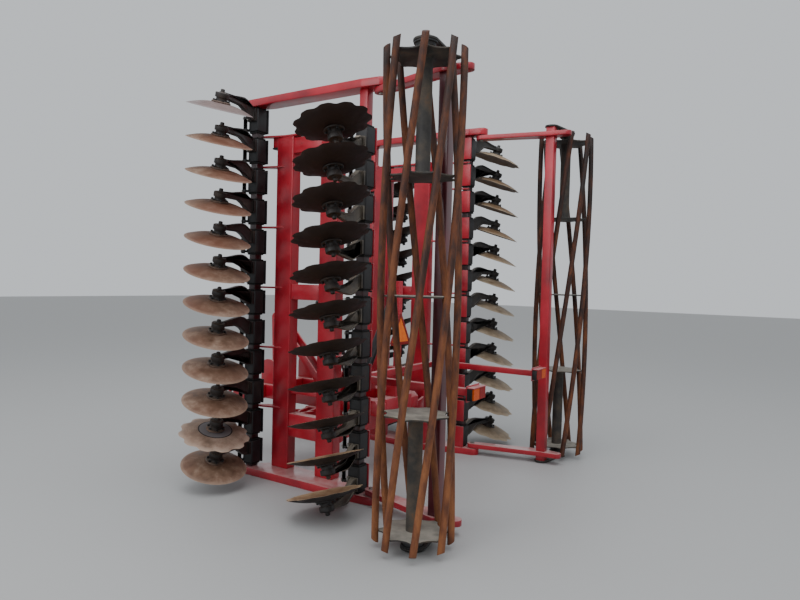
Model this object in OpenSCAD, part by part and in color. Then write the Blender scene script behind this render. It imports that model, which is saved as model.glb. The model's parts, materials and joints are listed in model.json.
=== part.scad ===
// Mounted compact disc harrow with two wings folded upright for the road.
// Frame: X to the machine's right, Y in the direction of travel, Z up. The origin lies on the
// ground, in the middle plane, halfway along the machine. Millimetres, folded and parked.

/* [Rows of discs] */
// Spacing of the discs along a beam
disc_pitch = 250; // [235:5:290]
// Number of discs in a long row (front left, rear right)
long_row = 12; // [8:1:13]
// Number of discs in a short row (rear left, front right)
short_row = 11; // [7:1:12]
// Distance between the front and rear disc beams
row_gap = 1110; // [1050:10:1300]
// Room below the first back plate of the front left row
room_front_left = 26; // [2:1:60]
// Room below the first back plate of the rear left row
room_rear_left = 8; // [2:1:60]
// Room below the first back plate of the front right row
room_front_right = 8; // [2:1:60]
// Room below the first back plate of the rear right row
room_rear_right = 3; // [2:1:60]
// Room between the last back plate and the outer end beam
end_room = 3; // [2:1:30]

/* [Discs] */
// Radius of a disc
disc_r = 268; // [235:1:270]
// Radius of a worn disc in a front row
worn_r = 250; // [230:1:265]
// Place of the one newer disc in the front left row, from the inner end
new_disc = 2; // [1:1:7]
// Thickness of a disc
disc_t = 6; // [4:0.5:10]
// Depth of the dish from rim to flat
dish_depth = 48; // [40:1:60]
// Radius of the flat middle
disc_flat_r = 75; // [74:1:90]
// Number of notches round a rim
notches = 11; // [6:1:14]
// Depth of a notch
notch_depth = 15; // [8:1:20]
// Angle between a disc and the direction of travel
gang_angle = 17; // [10:0.5:20]
// Tilt of a disc away from upright
tilt_angle = 4.5; // [0:0.5:6]
// Distance of the disc's middle outboard of its beam
disc_out = 455; // [430:5:480]
// Distance of the disc's middle behind its beam
disc_back = 60; // [40:5:90]

/* [Disc arms] */
// Radius of the bearing hub below the arm's eye
hub_r = 41; // [36:1:48]
// Length of the bearing hub
hub_len = 66; // [56:1:72]
// Radius of the hub's flange on the disc
hub_flange_r = 72; // [60:1:74]
// Thickness of the hub's flange
hub_flange_t = 12; // [8:1:16]
// Radius of the arm's eye round the hub
arm_eye_r = 51; // [50:1:58]
// Radius of the hub's cap nut
cap_nut_r = 16; // [12:1:22]
// Thickness of the forged arm
arm_t = 38; // [28:1:46]
// Height of the arm's hump above the middle of the hub
arm_hump = 52; // [30:1:60]
// Length over which the arm rises to its hump
hump_rise = 150; // [100:5:180]
// Depth of the hollow in each flank of the arm
flank_depth = 6; // [3:1:9]
// Side of the square disc beam
beam_w = 72; // [60:2:84]
// Wall of the clamp housing round the beam
clamp_wall = 18; // [12:1:22]
// Length of a clamp housing along the beam
clamp_len = 180; // [150:5:180]
// Offset of a clamp housing from its disc, towards the hub
clamp_shift = 20; // [14:1:22]
// Thickness of the back plates behind the clamp housings
back_t = 14; // [8:1:16]
// Length of the strap that stands off a clamp housing
strap_len = 130; // [110:2:150]
// Length of a back plate beyond each end of its clamp housing
back_over = 9; // [4:1:12]

/* [Wing frame] */
// Distance of the disc beams from the middle plane
beam_x = 835; // [820:5:900]
// Distance of the main wing tubes from the middle plane
tube_x = 700; // [690:5:705]
// Depth of a main wing tube, across the wing
tube_d = 100; // [80:5:100]
// Width of a main wing tube, along the machine
tube_w = 180; // [160:5:200]
// Place of the front wing tube in front of the rear disc beam
tube_front_y = 880; // [860:5:900]
// Place of the rear wing tube in front of the rear disc beam
tube_rear_y = 405; // [380:5:430]
// Thickness of the end beams
end_t = 60; // [50:1:60]
// Width of the end beams
end_w = 150; // [120:5:160]
// Height of the middle rung, which carries the folding cylinder
rung_z = 1530; // [1450:10:1600]
// Thickness of the middle rung
rung_t = 125; // [100:5:140]
// Height of the thin rung
thin_rung_z = 690; // [640:10:760]
// Thickness of the thin rung
thin_rung_t = 40; // [30:2:60]
// Thickness of the hinge rung
hinge_rung_t = 190; // [150:5:200]
// Thickness of the link plates between tubes and beams
link_t = 15; // [10:1:20]

/* [Fold hinge] */
// Distance of the fold hinges from the middle plane
hinge_x = 435; // [425:1:445]
// Height by which the hinge stands lower than its distance from the middle plane
hinge_drop = 5; // [3:1:10]
// Radius of the fold hinge pins
hinge_pin_r = 25; // [18:1:30]
// Radius of the hinge lugs' round ends
lug_r = 60; // [50:1:64]
// Thickness of a hinge lug
lug_t = 24; // [16:1:26]
// Gap between a wing lug and a centre lug
lug_gap = 9; // [6:1:12]
// Room between a wing lug's round end and the cross tube
lug_room = 25; // [20:1:40]

/* [Roller] */
// Distance of the roller axes from the middle plane
roller_x = 1320; // [1300:5:1360]
// Distance of the roller axes behind the rear disc beams
roller_back = 790; // [760:5:850]
// Outer radius of the cage roller
roller_r = 258; // [230:1:262]
// Radius of a roller bar
bar_r = 24; // [16:1:28]
// Number of roller bars
bars = 8; // [6:1:10]
// Twist of the bars over the roller's length
bar_twist = 90; // [45:5:120]
// Height of the slanted cut on a bar's end
bar_cut = 26; // [0:1:40]
// Number of ring plates
rings = 5; // [3:1:7]
// Thickness of a ring plate
ring_t = 10; // [8:1:14]
// Depth of the hollows in a ring plate's edge
ring_hollow = 34; // [10:1:60]
// Length of the bars beyond the end rings
bar_over = 80; // [75:1:95]
// Radius of the roller's tubes between the last two rings at each end
roller_tube_r = 46; // [40:1:60]
// Radius of the roller's end journals
journal_r = 25; // [18:1:30]
// Gap between the bars' ends and the bearing plates
bar_gap = 10; // [6:1:14]

/* [Roller frame] */
// Distance of the roller frame's tube from the middle plane
frame_tube_x = 990; // [980:5:1010]
// Distance of the roller frame's tube behind the rear disc beams
frame_tube_back = 760; // [740:5:800]
// Side of the roller frame's square tube
frame_tube_w = 80; // [70:2:84]
// Thickness of the roller arms
arm_beam_t = 40; // [30:1:44]
// Width of the roller arms' rear ends
arm_beam_w = 92; // [84:2:104]
// Length of the roller arms behind the frame's tube
arm_over = 140; // [110:5:170]
// Distance of the roller arms' pivots behind the rear disc beams
pivot_back = 130; // [125:1:150]
// Radius of the roller arms' pivot pins
pivot_pin_r = 20; // [15:1:24]
// Thickness of the bearing plates
plate_t = 15; // [12:1:16]
// Gap between a roller arm and the end beam beside it
arm_gap = 6; // [5:1:8]
// Radius of the roller bearings
bearing_r = 62; // [50:1:70]

/* [Centre frame] */
// Side of the cross tubes between the fold hinges
cross_w = 150; // [120:5:160]
// Distance of the long tubes from the middle plane
rail_x = 260; // [230:5:270]
// Width of the long tubes
rail_w = 120; // [100:5:140]
// Height of the long tubes
rail_h = 130; // [100:5:150]
// Front end of the long tubes
rail_front_y = 1480; // [1440:10:1520]
// Rear end of the long tubes
rail_rear_y = 180; // [150:5:200]
// Thickness of the cylinder tower's plates
tower_t = 20; // [12:1:24]

/* [Three-point headstock] */
// Height of the lower hitch pins above the ground
hitch_z = 570; // [560:5:620]
// Place of the lower hitch pins in front of the rear disc beams
hitch_y = 1700; // [1680:5:1760]
// Half the distance between the lower hitch points
hitch_x = 482.5; // [435:2.5:505]
// Radius of the lower hitch pins
lower_pin_r = 18.3; // [14:0.1:18.4]
// Height of the upper hitch pin above the lower ones
mast_h = 685; // [610:5:760]
// Distance of the upper hitch pin behind the lower ones
mast_back = 60; // [40:5:90]
// Radius of the upper hitch pin
upper_pin_r = 15.9; // [12.5:0.1:16]
// Gap between the lower hitch plates
lower_gap = 65; // [50:1:80]
// Gap between the upper hitch plates
upper_gap = 54; // [52:1:60]
// Thickness of the hitch plates
hitch_t = 18; // [12:1:22]
// Radius of the lower hitch plates' ends
hitch_lug_r = 45; // [40:1:60]
// Depth of the head beam across the front of the long tubes
head_d = 110; // [90:5:130]
// Radius of the upper hitch plates' eyes
mast_eye_r = 42; // [36:1:50]
// Drop from the upper hitch pin to the mast's rear shoulder
mast_drop = 130; // [100:5:160]
// Height of the mast's rear shoulder, where the stays start
shoulder_h = 60; // [40:5:80]

/* [Folding cylinders] */
// Distance of the cylinders' base pins from the middle plane
base_x = 120; // [110:5:130]
// Height of the base pins
base_z = 780; // [770:5:800]
// Radius of a cylinder barrel
barrel_r = 43; // [36:1:45]
// Radius of a cylinder rod
rod_r = 23; // [16:1:26]
// Distance of the rod's eye inboard of the rung
eye_stand = 60; // [52:1:70]
// Radius of the eyes
eye_r = 39; // [34:1:40]
// Radius of the cylinder pins
cyl_pin_r = 17; // [12:1:20]
// Length of the barrel from its base pin
barrel_len = 800; // [740:5:850]
// Length of rod in view between the barrel and the rod's eye
rod_bare = 50.099; // [40:0.001:60]
// Gap between a cylinder and the plates beside it
cyl_gap = 6; // [5:1:10]

/* [Lamps and sign] */
// Distance of the lamp arms from the middle plane
lamp_x = 615; // [580:5:618]
// Height of the lamp arms
lamp_z = 870; // [840:5:900]
// Distance of the lamps behind the rear disc beams
lamp_back = 850; // [800:10:900]
// Side of the square lamp arm
lamp_arm_w = 50; // [30:2:54]
// Length of a lamp
lamp_w = 200; // [150:5:240]
// Height of a lamp
lamp_h = 95; // [70:5:120]
// Side of the triangular sign
sign_side = 340; // [300:10:420]
// Height of the sign's lower edge above the lamp arms
sign_rise = 215; // [60:5:260]
// Height of the sign post's top
post_top = 1640; // [1500:10:1700]
// Width of the sign post
post_w = 50; // [40:2:70]

/* [Hidden] */

paint = "#b3262a";
black = "#2a2b2d";
rust = "#8a6a55";
steel = "#9a9a98";
tan_steel = "#a08c80";
lens = "#c8281e";
sign_orange = "#d8541c";

seat = 0.3;
pin_play = 0.1;
left = -1;
right = 1;
hub_up = 1;
hub_down = -1;

hinge_z = hinge_x - hinge_drop;
clamp_w = beam_w + 2 * clamp_wall;
clamp_face = clamp_w / 2 + seat;
tube_in = tube_x - tube_d / 2;
tube_out = tube_x + tube_d / 2;
roller_y = -roller_back;
frame_tube_y = -frame_tube_back;
rail_low = hinge_z + cross_w / 2;
rail_top = rail_low + rail_h;
// Middle of the machine's length, where the origin lies
mid_y = (hitch_y + hitch_lug_r - roller_back - roller_r) / 2;

// Rows: side of the machine, place of the beam, room below the first back plate, discs, way the
// hubs point, disc radius, notch depth
front_left = [left, row_gap, room_front_left, long_row, hub_up, worn_r, 0];
rear_left = [left, 0, room_rear_left, short_row, hub_down, disc_r, notch_depth];
front_right = [right, row_gap, room_front_right, short_row, hub_down, worn_r, 0];
rear_right = [right, 0, room_rear_right, long_row, hub_up, disc_r, notch_depth];

function rows_on(side) = side == left ? [front_left, rear_left] : [front_right, rear_right];
function row_side(row) = row[0];
function row_y(row) = row[1];
function clamp_z(row, i) = end_t + row[2] + back_over + clamp_len / 2 + i * disc_pitch;
function row_z(row, i) = clamp_z(row, i) - row[4] * clamp_shift;
function row_count(row) = row[3];
function row_hub(row) = row[4];
function row_radius(row) = row[5];
function row_notch(row) = row[6];
// Middle of the gap above the clamp housing of disc i
function row_gap_z(row, i) = clamp_z(row, i) + disc_pitch / 2;
function row_top(row) = clamp_z(row, row_count(row) - 1) + clamp_len / 2 + back_over + end_room;
// The main tubes end in the last gap of the wing's longer row
function longer_row(side) = let (r = rows_on(side)) row_count(r[0]) > row_count(r[1]) ? r[0] : r[1];
function tube_top(side) = let (r = longer_row(side)) row_gap_z(r, row_count(r) - 2) - link_t / 2;
wing_h = max(row_top(front_left), row_top(rear_left), row_top(front_right), row_top(rear_right));
wing_top = wing_h + end_t;

// Roller sizes along its axis
plate_low = 5;
plate_high = wing_top - plate_low - plate_t;
bar_low = plate_low + plate_t + bar_gap;
bar_high = plate_high - bar_gap;
ring_low = bar_low + bar_over;
ring_high = bar_high - bar_over;
ring_step = (ring_high - ring_low) / (rings - 1);
bar_circle = roller_r - bar_r;
bar_phase = 31;
bar_sides = 8;
bar_steps = 16;
arm_levels = [end_t + arm_gap, wing_h - arm_gap - arm_beam_t];

// Folding cylinder
cyl_y = (tube_front_y + tube_rear_y) / 2;
eye_x = tube_in - eye_stand;
rod_eye_r = eye_r - 4;
cyl_len = barrel_len + rod_bare + rod_eye_r;
// The fork on the middle rung meets the eye where the folded cylinder ends
eye_z = base_z + sqrt(pow(cyl_len, 2) - pow(eye_x - base_x, 2));
cyl_angle = atan2(eye_z - base_z, eye_x - base_x);
tower_gap = 2 * (barrel_r + cyl_gap);
lug_mid = tube_w / 2 - lug_t * 1.5 - lug_gap;
lamp_post_y = rail_rear_y + 10;

// From the rear disc beams to the middle of the machine's length
module at_middle() {
    translate([0, -mid_y, 0]) children();
}

module on_side(side) {
    if (side == right) children();
    else mirror([1, 0, 0]) children();
}

// Block between two corners
module block(a, b) {
    translate(a) cube(b - a);
}

// Round bar along Y, centred at a point
module rod_y(p, r, len) {
    translate(p) rotate([90, 0, 0]) cylinder(r = r, h = len, center = true, $fn = 48);
}

// Plate in the XZ plane, centred at a place along Y
module plate_y(y, t) {
    translate([0, y + t / 2, 0]) rotate([90, 0, 0]) linear_extrude(t) children();
}

// Plate in the YZ plane, centred at a place along X
module plate_x(x, t) {
    translate([x - t / 2, 0, 0]) rotate([90, 0, 90]) linear_extrude(t) children();
}

// Tangent outline round two circles
module strap(p, r1, q, r2) {
    d = q - p;
    l = norm(d);
    a = atan2(d[1], d[0]);
    b = acos((r1 - r2) / l);
    translate(p) circle(r = r1, $fn = 48);
    translate(q) circle(r = r2, $fn = 48);
    polygon([
        p + r1 * [cos(a + b), sin(a + b)], q + r2 * [cos(a + b), sin(a + b)],
        q + r2 * [cos(a - b), sin(a - b)], p + r1 * [cos(a - b), sin(a - b)]]);
}

// Rectangle about the origin with cut corners
module cut_square(w, d, cut) {
    polygon([[w / 2 - cut, d / 2], [w / 2, d / 2 - cut], [w / 2, cut - d / 2], [w / 2 - cut, -d / 2],
        [cut - w / 2, -d / 2], [-w / 2, cut - d / 2], [-w / 2, d / 2 - cut], [cut - w / 2, d / 2]]);
}

// One disc, its axis along Z and its rim at the origin's height, dished towards +Z
module disc(radius, notch) {
    steps = 4;
    function dish_r(i) = disc_flat_r + (radius - disc_flat_r) * i / steps;
    function dish_z(i) = dish_depth * (1 - pow(i / steps, 1.6));
    difference() {
        rotate_extrude($fn = 72) polygon(concat(
            [[0, dish_depth - disc_t]],
            [for (i = [0:steps - 1]) [dish_r(i), dish_z(i) - disc_t]],
            [[radius - 1.5 * disc_t, 0]],
            [for (i = [steps:-1:0]) [dish_r(i), dish_z(i)]],
            [[0, dish_depth]]));
        if (notch > 0)
            for (i = [0:notches - 1]) rotate(i * 360 / notches)
                translate([radius + notch * 0.7, 0, -disc_t])
                    cylinder(r = notch * 1.7, h = dish_depth, $fn = 24);
    }
}

// Bearing hub on the disc's flat, inside the arm's eye, with its cap nut
module hub() {
    eye_from = hub_flange_t + hub_len * 0.42;
    top = hub_flange_t + hub_len;
    translate([0, 0, dish_depth + seat]) rotate_extrude($fn = 40) polygon([
        [0, 0], [hub_flange_r, 0], [hub_flange_r, hub_flange_t - 4], [hub_flange_r - 6, hub_flange_t],
        [hub_r + 8, hub_flange_t], [hub_r, hub_flange_t + 6], [hub_r, eye_from], [arm_eye_r, eye_from],
        [arm_eye_r, top - 5], [arm_eye_r - 5, top], [cap_nut_r + 8, top], [cap_nut_r + 8, top + 5],
        [cap_nut_r, top + 5], [cap_nut_r, top + 22], [cap_nut_r - 5, top + 27], [0, top + 27]]);
}

// Place of a disc on the outboard side of its beam, hub side up
module at_disc() {
    translate([disc_out, -disc_back, 0]) rotate([0, tilt_angle, 0]) rotate([gang_angle, 0, 0])
        children();
}

// Height of the arm's middle at the hub, and the arm's reach from the beam
hub_mid = dish_depth + hub_flange_t + hub_len * 0.7;
reach_x = disc_out + sin(tilt_angle) * hub_mid;
reach_y = -disc_back - sin(gang_angle) * hub_mid;
arm_reach = norm([reach_x, reach_y]);
foot_low = clamp_shift - 15;
foot_high = clamp_shift + clamp_len / 2 - 4;
foot_t = 18;

function ease(s) = s <= 0 ? 0 : s >= 1 ? 1 : s * s * (3 - 2 * s);
// Lower edge: level at the foot, then up over the disc's rim to the hub
function arm_low(x) = foot_low + (hub_mid - 22 - foot_low)
    * ease((x - arm_reach + disc_r + 108) / 165);
// Upper edge: a hump over the disc's rim that falls to the hub
function arm_high(x) = foot_high + (hub_mid + arm_hump - foot_high) * ease((x - clamp_face) / hump_rise)
    - (arm_hump - 20) * ease((x - arm_reach + disc_r + 20) / (disc_r - 20));

// Outline between two places along the arm, drawn in by an edge
module arm_outline(from, to, edge) {
    steps = 10;
    xs = [for (i = [0:steps]) from + (to - from) * i / steps];
    polygon(concat([for (x = xs) [x, arm_low(x) + edge]],
        [for (i = [steps:-1:0]) [xs[i], arm_high(xs[i]) - edge]]));
}

// Forged arm from the clamp housing to the hub, standing on edge with hollowed flanks
module arm() {
    difference() {
        rotate(atan2(reach_y, reach_x)) difference() {
            plate_y(0, arm_t) arm_outline(clamp_face - 20, arm_reach, 0);
            for (s = [-1, 1])
                plate_y(s * (arm_t - flank_depth + 1) / 2, flank_depth + 1)
                    arm_outline(clamp_face + 36, arm_reach - arm_eye_r - 14, 14);
        }
        block([-clamp_w, -clamp_w, -clamp_len], [clamp_face, clamp_w, 2 * clamp_len]);
    }
    block([clamp_face, -clamp_w / 2 + 6, foot_low], [clamp_face + foot_t, clamp_w / 2 - 6, foot_high]);
}

// Clamp housing round a beam, with a strap that stands off its front corner on two ears
module clamp() {
    play = beam_w / 2 + seat;
    strap_low = -clamp_len / 2 - 8;
    ear_t = 18;
    difference() {
        translate([0, 0, -clamp_len / 2]) linear_extrude(clamp_len) cut_square(clamp_w, clamp_w, 8);
        block([-play, -play, -clamp_len], [play, play, clamp_len]);
    }
    for (z = [strap_low + 10, strap_low + strap_len - ear_t - 4])
        block([clamp_w / 2 - 24, clamp_w / 2 - 4, z], [clamp_w / 2 + 27, clamp_w / 2 + 20, z + ear_t]);
    block([clamp_w / 2 - 9, clamp_w / 2 + 20, strap_low],
        [clamp_w / 2 + 31, clamp_w / 2 + 28, strap_low + strap_len]);
}

// Places the units of one row, each in its own outboard frame
module each_disc(row) {
    on_side(row_side(row))
        for (i = [0:row_count(row) - 1])
            translate([beam_x, row_y(row), row_z(row, i)])
                if (row_hub(row) == hub_up) children();
                else mirror([0, 0, 1]) children();
}

module clamps(row) {
    color(black) each_disc(row) translate([0, 0, clamp_shift]) clamp();
}

// Plates on the inboard side of the clamp housings
module back_plates(side) {
    color(paint) for (row = rows_on(side))
        each_disc(row) translate([0, 0, clamp_shift])
            block([-clamp_face - back_t, -clamp_w / 2 - 4, -clamp_len / 2 - back_over],
                [-clamp_face, clamp_w / 2 + 4, clamp_len / 2 + back_over]);
}

module arms(row) {
    color(black) each_disc(row) {
        arm();
        at_disc() hub();
    }
}

module discs(row) {
    color(tan_steel) on_side(row_side(row))
        for (i = [0:row_count(row) - 1])
            translate([beam_x, row_y(row), row_z(row, i)])
                mirror([0, 0, row_hub(row) == hub_up ? 0 : 1]) at_disc()
                    if (row == front_left && i == new_disc - 1) disc(disc_r, notch_depth);
                    else disc(row_radius(row), row_notch(row));
}

// Upright members of one wing: two main tubes, and two square disc beams between the end beams
module wing_frame(side) {
    color(paint) on_side(side) {
        for (y = [tube_rear_y, tube_front_y])
            translate([tube_x, y, end_t]) linear_extrude(tube_top(side) - end_t)
                cut_square(tube_d, tube_w, 6);
        for (y = [0, row_gap])
            block([beam_x - beam_w / 2, y - beam_w / 2, end_t],
                [beam_x + beam_w / 2, y + beam_w / 2, wing_h]);
    }
}

// Rungs between the main tubes
module rungs(side) {
    from_y = tube_rear_y + tube_w / 2;
    to_y = tube_front_y - tube_w / 2;
    color(paint) on_side(side) {
        block([tube_in + 8, from_y, hinge_z - hinge_rung_t / 2],
            [tube_out - 8, to_y, hinge_z + hinge_rung_t / 2]);
        block([tube_in + 8, from_y, rung_z - rung_t / 2], [tube_out - 8, to_y, rung_z + rung_t / 2]);
        block([tube_x - 30, from_y, thin_rung_z], [tube_x + 30, to_y, thin_rung_z + thin_rung_t]);
        block([tube_in + 8, from_y, tube_top(side) - rung_t - 15], [tube_out - 8, to_y, tube_top(side) - 15]);
    }
}

// End beams, with the roller arms' pivots at their rear ends
module end_beams(side) {
    half_b = beam_w / 2;
    end_in = beam_x - end_w / 2;
    end_out = beam_x + end_w / 2;
    color(paint) on_side(side)
        for (z = [0, wing_h]) translate([0, 0, z]) difference() {
            linear_extrude(end_t) {
                polygon([[z == 0 ? tube_in : end_in, tube_front_y + tube_w / 2],
                    [end_in + 30, row_gap + half_b], [end_out, row_gap + half_b],
                    [end_out, 0], [end_in, -half_b],
                    [z == 0 ? tube_in : end_in, tube_rear_y - tube_w / 2]]);
                strap([beam_x, 0], end_w / 2, [beam_x, -pivot_back], lug_r);
            }
            translate([beam_x, -pivot_back, -1])
                cylinder(r = pivot_pin_r + pin_play, h = end_t + 2, $fn = 48);
        }
}

// Link plates from the main tubes to the disc beams, in the gaps between the clamp housings
module link_plates(side) {
    top = tube_top(side);
    color(paint) on_side(side) {
        for (row = rows_on(side)) {
            tube_y = row_y(row) > 0 ? tube_front_y : tube_rear_y;
            way = row_y(row) > 0 ? 1 : -1;
            near_y = tube_y + way * tube_w / 2;
            for (i = [1:2:row_count(row) - 3])
                translate([0, 0, row_gap_z(row, i) - link_t / 2]) linear_extrude(link_t)
                    polygon([[tube_x - 20, near_y], [tube_out, near_y], [tube_out, tube_y],
                        [beam_x - beam_w / 2, row_y(row) - way * beam_w / 2],
                        [beam_x - beam_w / 2, row_y(row) + way * beam_w / 2]]);
        }
        block([tube_in, tube_rear_y - tube_w / 2, top],
            [tube_out, tube_front_y + tube_w / 2, top + link_t]);
        let (row = longer_row(side), way = row_y(row) > 0 ? 1 : -1,
            tube_y = row_y(row) > 0 ? tube_front_y : tube_rear_y)
            translate([0, 0, top]) linear_extrude(link_t)
                polygon([[tube_x, tube_y + way * tube_w / 2], [tube_out - 1, tube_y + way * tube_w / 2],
                    [tube_out - 1, tube_y], [beam_x - beam_w / 2, row_y(row) - way * beam_w / 2],
                    [beam_x - beam_w / 2, row_y(row) + way * beam_w / 2]]);
    }
}

// Hinge lugs on the inboard faces of the main tubes, and the fork for the cylinder's rod
module hinge_lugs(side) {
    root_r = lug_r + 12;
    root_x = tube_in - root_r;
    color(paint) on_side(side) {
        for (y = [tube_rear_y, tube_front_y], s = [-1, 1])
            plate_y(y + s * (tube_w / 2 - lug_t / 2), lug_t) difference() {
                union() {
                    strap([hinge_x, hinge_z], lug_r, [root_x, hinge_z], root_r);
                    polygon([[root_x, hinge_z - root_r], [tube_in, hinge_z - hinge_rung_t / 2],
                        [tube_in, hinge_z + hinge_rung_t / 2], [root_x, hinge_z + root_r]]);
                }
                translate([hinge_x, hinge_z]) circle(r = hinge_pin_r + pin_play, $fn = 48);
            }
        for (s = [-1, 1])
            plate_y(cyl_y + s * (eye_r + cyl_gap), 18) difference() {
                union() {
                    translate([eye_x, eye_z]) circle(r = eye_r, $fn = 48);
                    polygon([[eye_x, eye_z - eye_r], [tube_in + 8, rung_z - eye_r - 12],
                        [tube_in + 8, rung_z + eye_r + 12], [eye_x, eye_z + eye_r]]);
                }
                translate([eye_x, eye_z]) circle(r = cyl_pin_r + pin_play, $fn = 48);
            }
    }
}

// Cross tubes between the fold hinges, and the rear cross piece between the long tubes
module centre_frame() {
    cross_end = hinge_x - lug_r - lug_room;
    color(paint) {
        for (y = [tube_rear_y, tube_front_y]) translate([0, y, hinge_z]) rotate([90, 0, 90])
            translate([0, 0, -cross_end]) linear_extrude(2 * cross_end) cut_square(cross_w, cross_w, 6);
        block([-rail_x + rail_w / 2, rail_rear_y, rail_low],
            [rail_x - rail_w / 2, rail_rear_y + rail_w, rail_top]);
    }
}

// Two long tubes from the rear cross piece to the head beam
module long_tubes() {
    color(paint) for (side = [-1, 1])
        plate_x(side * rail_x, rail_w) polygon([[rail_rear_y, rail_low], [rail_front_y, rail_low],
            [rail_front_y, rail_top], [rail_rear_y + 40, rail_top], [rail_rear_y, rail_top - 40]]);
}

// Hinge lugs on the ends of the cross tubes
module centre_lugs() {
    cross_end = hinge_x - lug_r - lug_room;
    color(paint) for (side = [-1, 1], y = [tube_rear_y, tube_front_y], s = [-1, 1])
        on_side(side) plate_y(y + s * lug_mid, lug_t) difference() {
            union() {
                strap([hinge_x, hinge_z], lug_r, [cross_end + 20, hinge_z], lug_r + 6);
                polygon([[cross_end, hinge_z - lug_r - 8], [cross_end + 22, hinge_z - lug_r - 6],
                    [cross_end + 22, hinge_z + lug_r + 6], [cross_end, hinge_z + lug_r + 8]]);
            }
            translate([hinge_x, hinge_z]) circle(r = hinge_pin_r + pin_play, $fn = 48);
            translate([0, hinge_z - cross_w]) square([cross_end, 2 * cross_w]);
        }
}

// Tower plates that carry the folding cylinders' base pins, standing on the long tubes
module cylinder_tower() {
    boss_r = eye_r + 12;
    out_x = rail_x - rail_w / 2;
    color(paint) for (s = [-1, 1])
        plate_y(cyl_y + s * (tower_gap + tower_t) / 2, tower_t) difference() {
            union() {
                strap([-base_x, base_z], boss_r, [base_x, base_z], boss_r);
                polygon([[-out_x, rail_low + 30], [out_x, rail_low + 30], [out_x, rail_top],
                    [base_x + boss_r, base_z], [-base_x - boss_r, base_z], [-out_x, rail_top]]);
            }
            for (side = [-1, 1]) translate([side * base_x, base_z])
                circle(r = cyl_pin_r + pin_play, $fn = 48);
        }
}

// Headstock for the three-point linkage: head beam, lower plates, mast and stays
module headstock() {
    from_y = rail_front_y + seat;
    to_y = from_y + head_d;
    top_y = hitch_y - mast_back;
    top_z = hitch_z + mast_h;
    shoulder_z = top_z - mast_drop - shoulder_h / 2;
    mast_mid = upper_gap / 2 + hitch_t / 2;
    low_mid = lower_gap / 2 + hitch_t / 2;
    beam_end = hitch_x + low_mid + hitch_t;
    stay_r = 36;
    color(paint) {
        translate([-beam_end, (from_y + to_y) / 2, (rail_low + rail_top) / 2]) rotate([90, 0, 90])
            linear_extrude(2 * beam_end) cut_square(head_d, rail_h, 6);
        for (side = [-1, 1], s = [-1, 1])
            plate_x(side * hitch_x + s * low_mid, hitch_t) difference() {
                union() {
                    strap([hitch_y, hitch_z], hitch_lug_r, [to_y + hitch_lug_r + seat, hitch_z], hitch_lug_r);
                    polygon([[to_y + seat, rail_low - 20], [to_y + 50, rail_low - 20],
                        [hitch_y, hitch_z + hitch_lug_r], [to_y + 30, rail_top + 60],
                        [to_y + seat, rail_top + 60]]);
                }
                translate([hitch_y, hitch_z]) circle(r = lower_pin_r + pin_play, $fn = 48);
            }
        for (s = [-1, 1])
            plate_x(s * mast_mid, hitch_t) difference() {
                union() {
                    translate([top_y, top_z]) circle(r = mast_eye_r, $fn = 48);
                    polygon([[to_y + seat, rail_low], [to_y + 60, rail_low], [top_y + mast_eye_r, top_z],
                        [top_y - mast_eye_r, top_z], [from_y - 40, shoulder_z + shoulder_h / 2],
                        [from_y - 40, shoulder_z - shoulder_h / 2], [to_y + seat, rail_top + 90]]);
                }
                translate([top_y, top_z]) circle(r = upper_pin_r + pin_play, $fn = 48);
            }
        for (s = [-1, 1])
            plate_x(s * (mast_mid + hitch_t + seat), hitch_t)
                strap([from_y - 20, shoulder_z], stay_r,
                    [tube_front_y + stay_r, rail_low + stay_r + seat], stay_r);
    }
}

module hinge_pins() {
    color(steel) for (side = [-1, 1], y = [tube_rear_y, tube_front_y]) {
        rod_y([side * hinge_x, y, hinge_z], hinge_pin_r, tube_w + 24);
        rod_y([side * hinge_x, y + tube_w / 2 + 6 + seat, hinge_z], hinge_pin_r + 12, 12);
    }
}

module cylinder_pins() {
    color(steel) for (side = [-1, 1])
        rod_y([side * base_x, cyl_y, base_z], cyl_pin_r, tower_gap + 2 * tower_t + 20);
}

// Bars that carry the rear lamps back past the rear discs, and the post of the sign
module lamp_arms() {
    half = lamp_arm_w / 2;
    cross_y = lamp_post_y - lamp_arm_w - seat;
    color(paint) {
        block([-50, lamp_post_y, rail_top + seat], [50, lamp_post_y + 100, lamp_z + half]);
        block([-post_w / 2, lamp_post_y, lamp_z], [post_w / 2, lamp_post_y + post_w, post_top]);
        block([-lamp_x - half, cross_y, lamp_z - half], [lamp_x + half, lamp_post_y - seat, lamp_z + half]);
        for (side = [-1, 1]) {
            block([side * lamp_x - half, -lamp_back + 30, lamp_z - half],
                [side * lamp_x + half, cross_y - seat, lamp_z + half]);
            block([side * lamp_x - lamp_w / 2, -lamp_back + 24 - seat, lamp_z - lamp_h / 2 - 10],
                [side * lamp_x + lamp_w / 2, -lamp_back + 30 - seat, lamp_z + lamp_h / 2 + 10]);
        }
    }
}

module rear_lamps() {
    color(lens) for (side = [-1, 1])
        translate([side * lamp_x, -lamp_back + 24 - 2 * seat, lamp_z]) rotate([90, 0, 0])
            linear_extrude(54) cut_square(lamp_w, lamp_h, 10);
}

// Blank triangular plate for slow vehicles, on the post
module slow_sign() {
    h = sign_side * sin(60);
    tip = 24;
    color(sign_orange) translate([0, lamp_post_y - seat - 2, lamp_z + sign_rise])
        plate_y(0, 4) polygon([[-sign_side / 2 + tip, 0], [sign_side / 2 - tip, 0],
            [sign_side / 2 - tip / 2, tip], [tip / 2, h - tip], [-tip / 2, h - tip],
            [-sign_side / 2 + tip / 2, tip]]);
}

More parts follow.
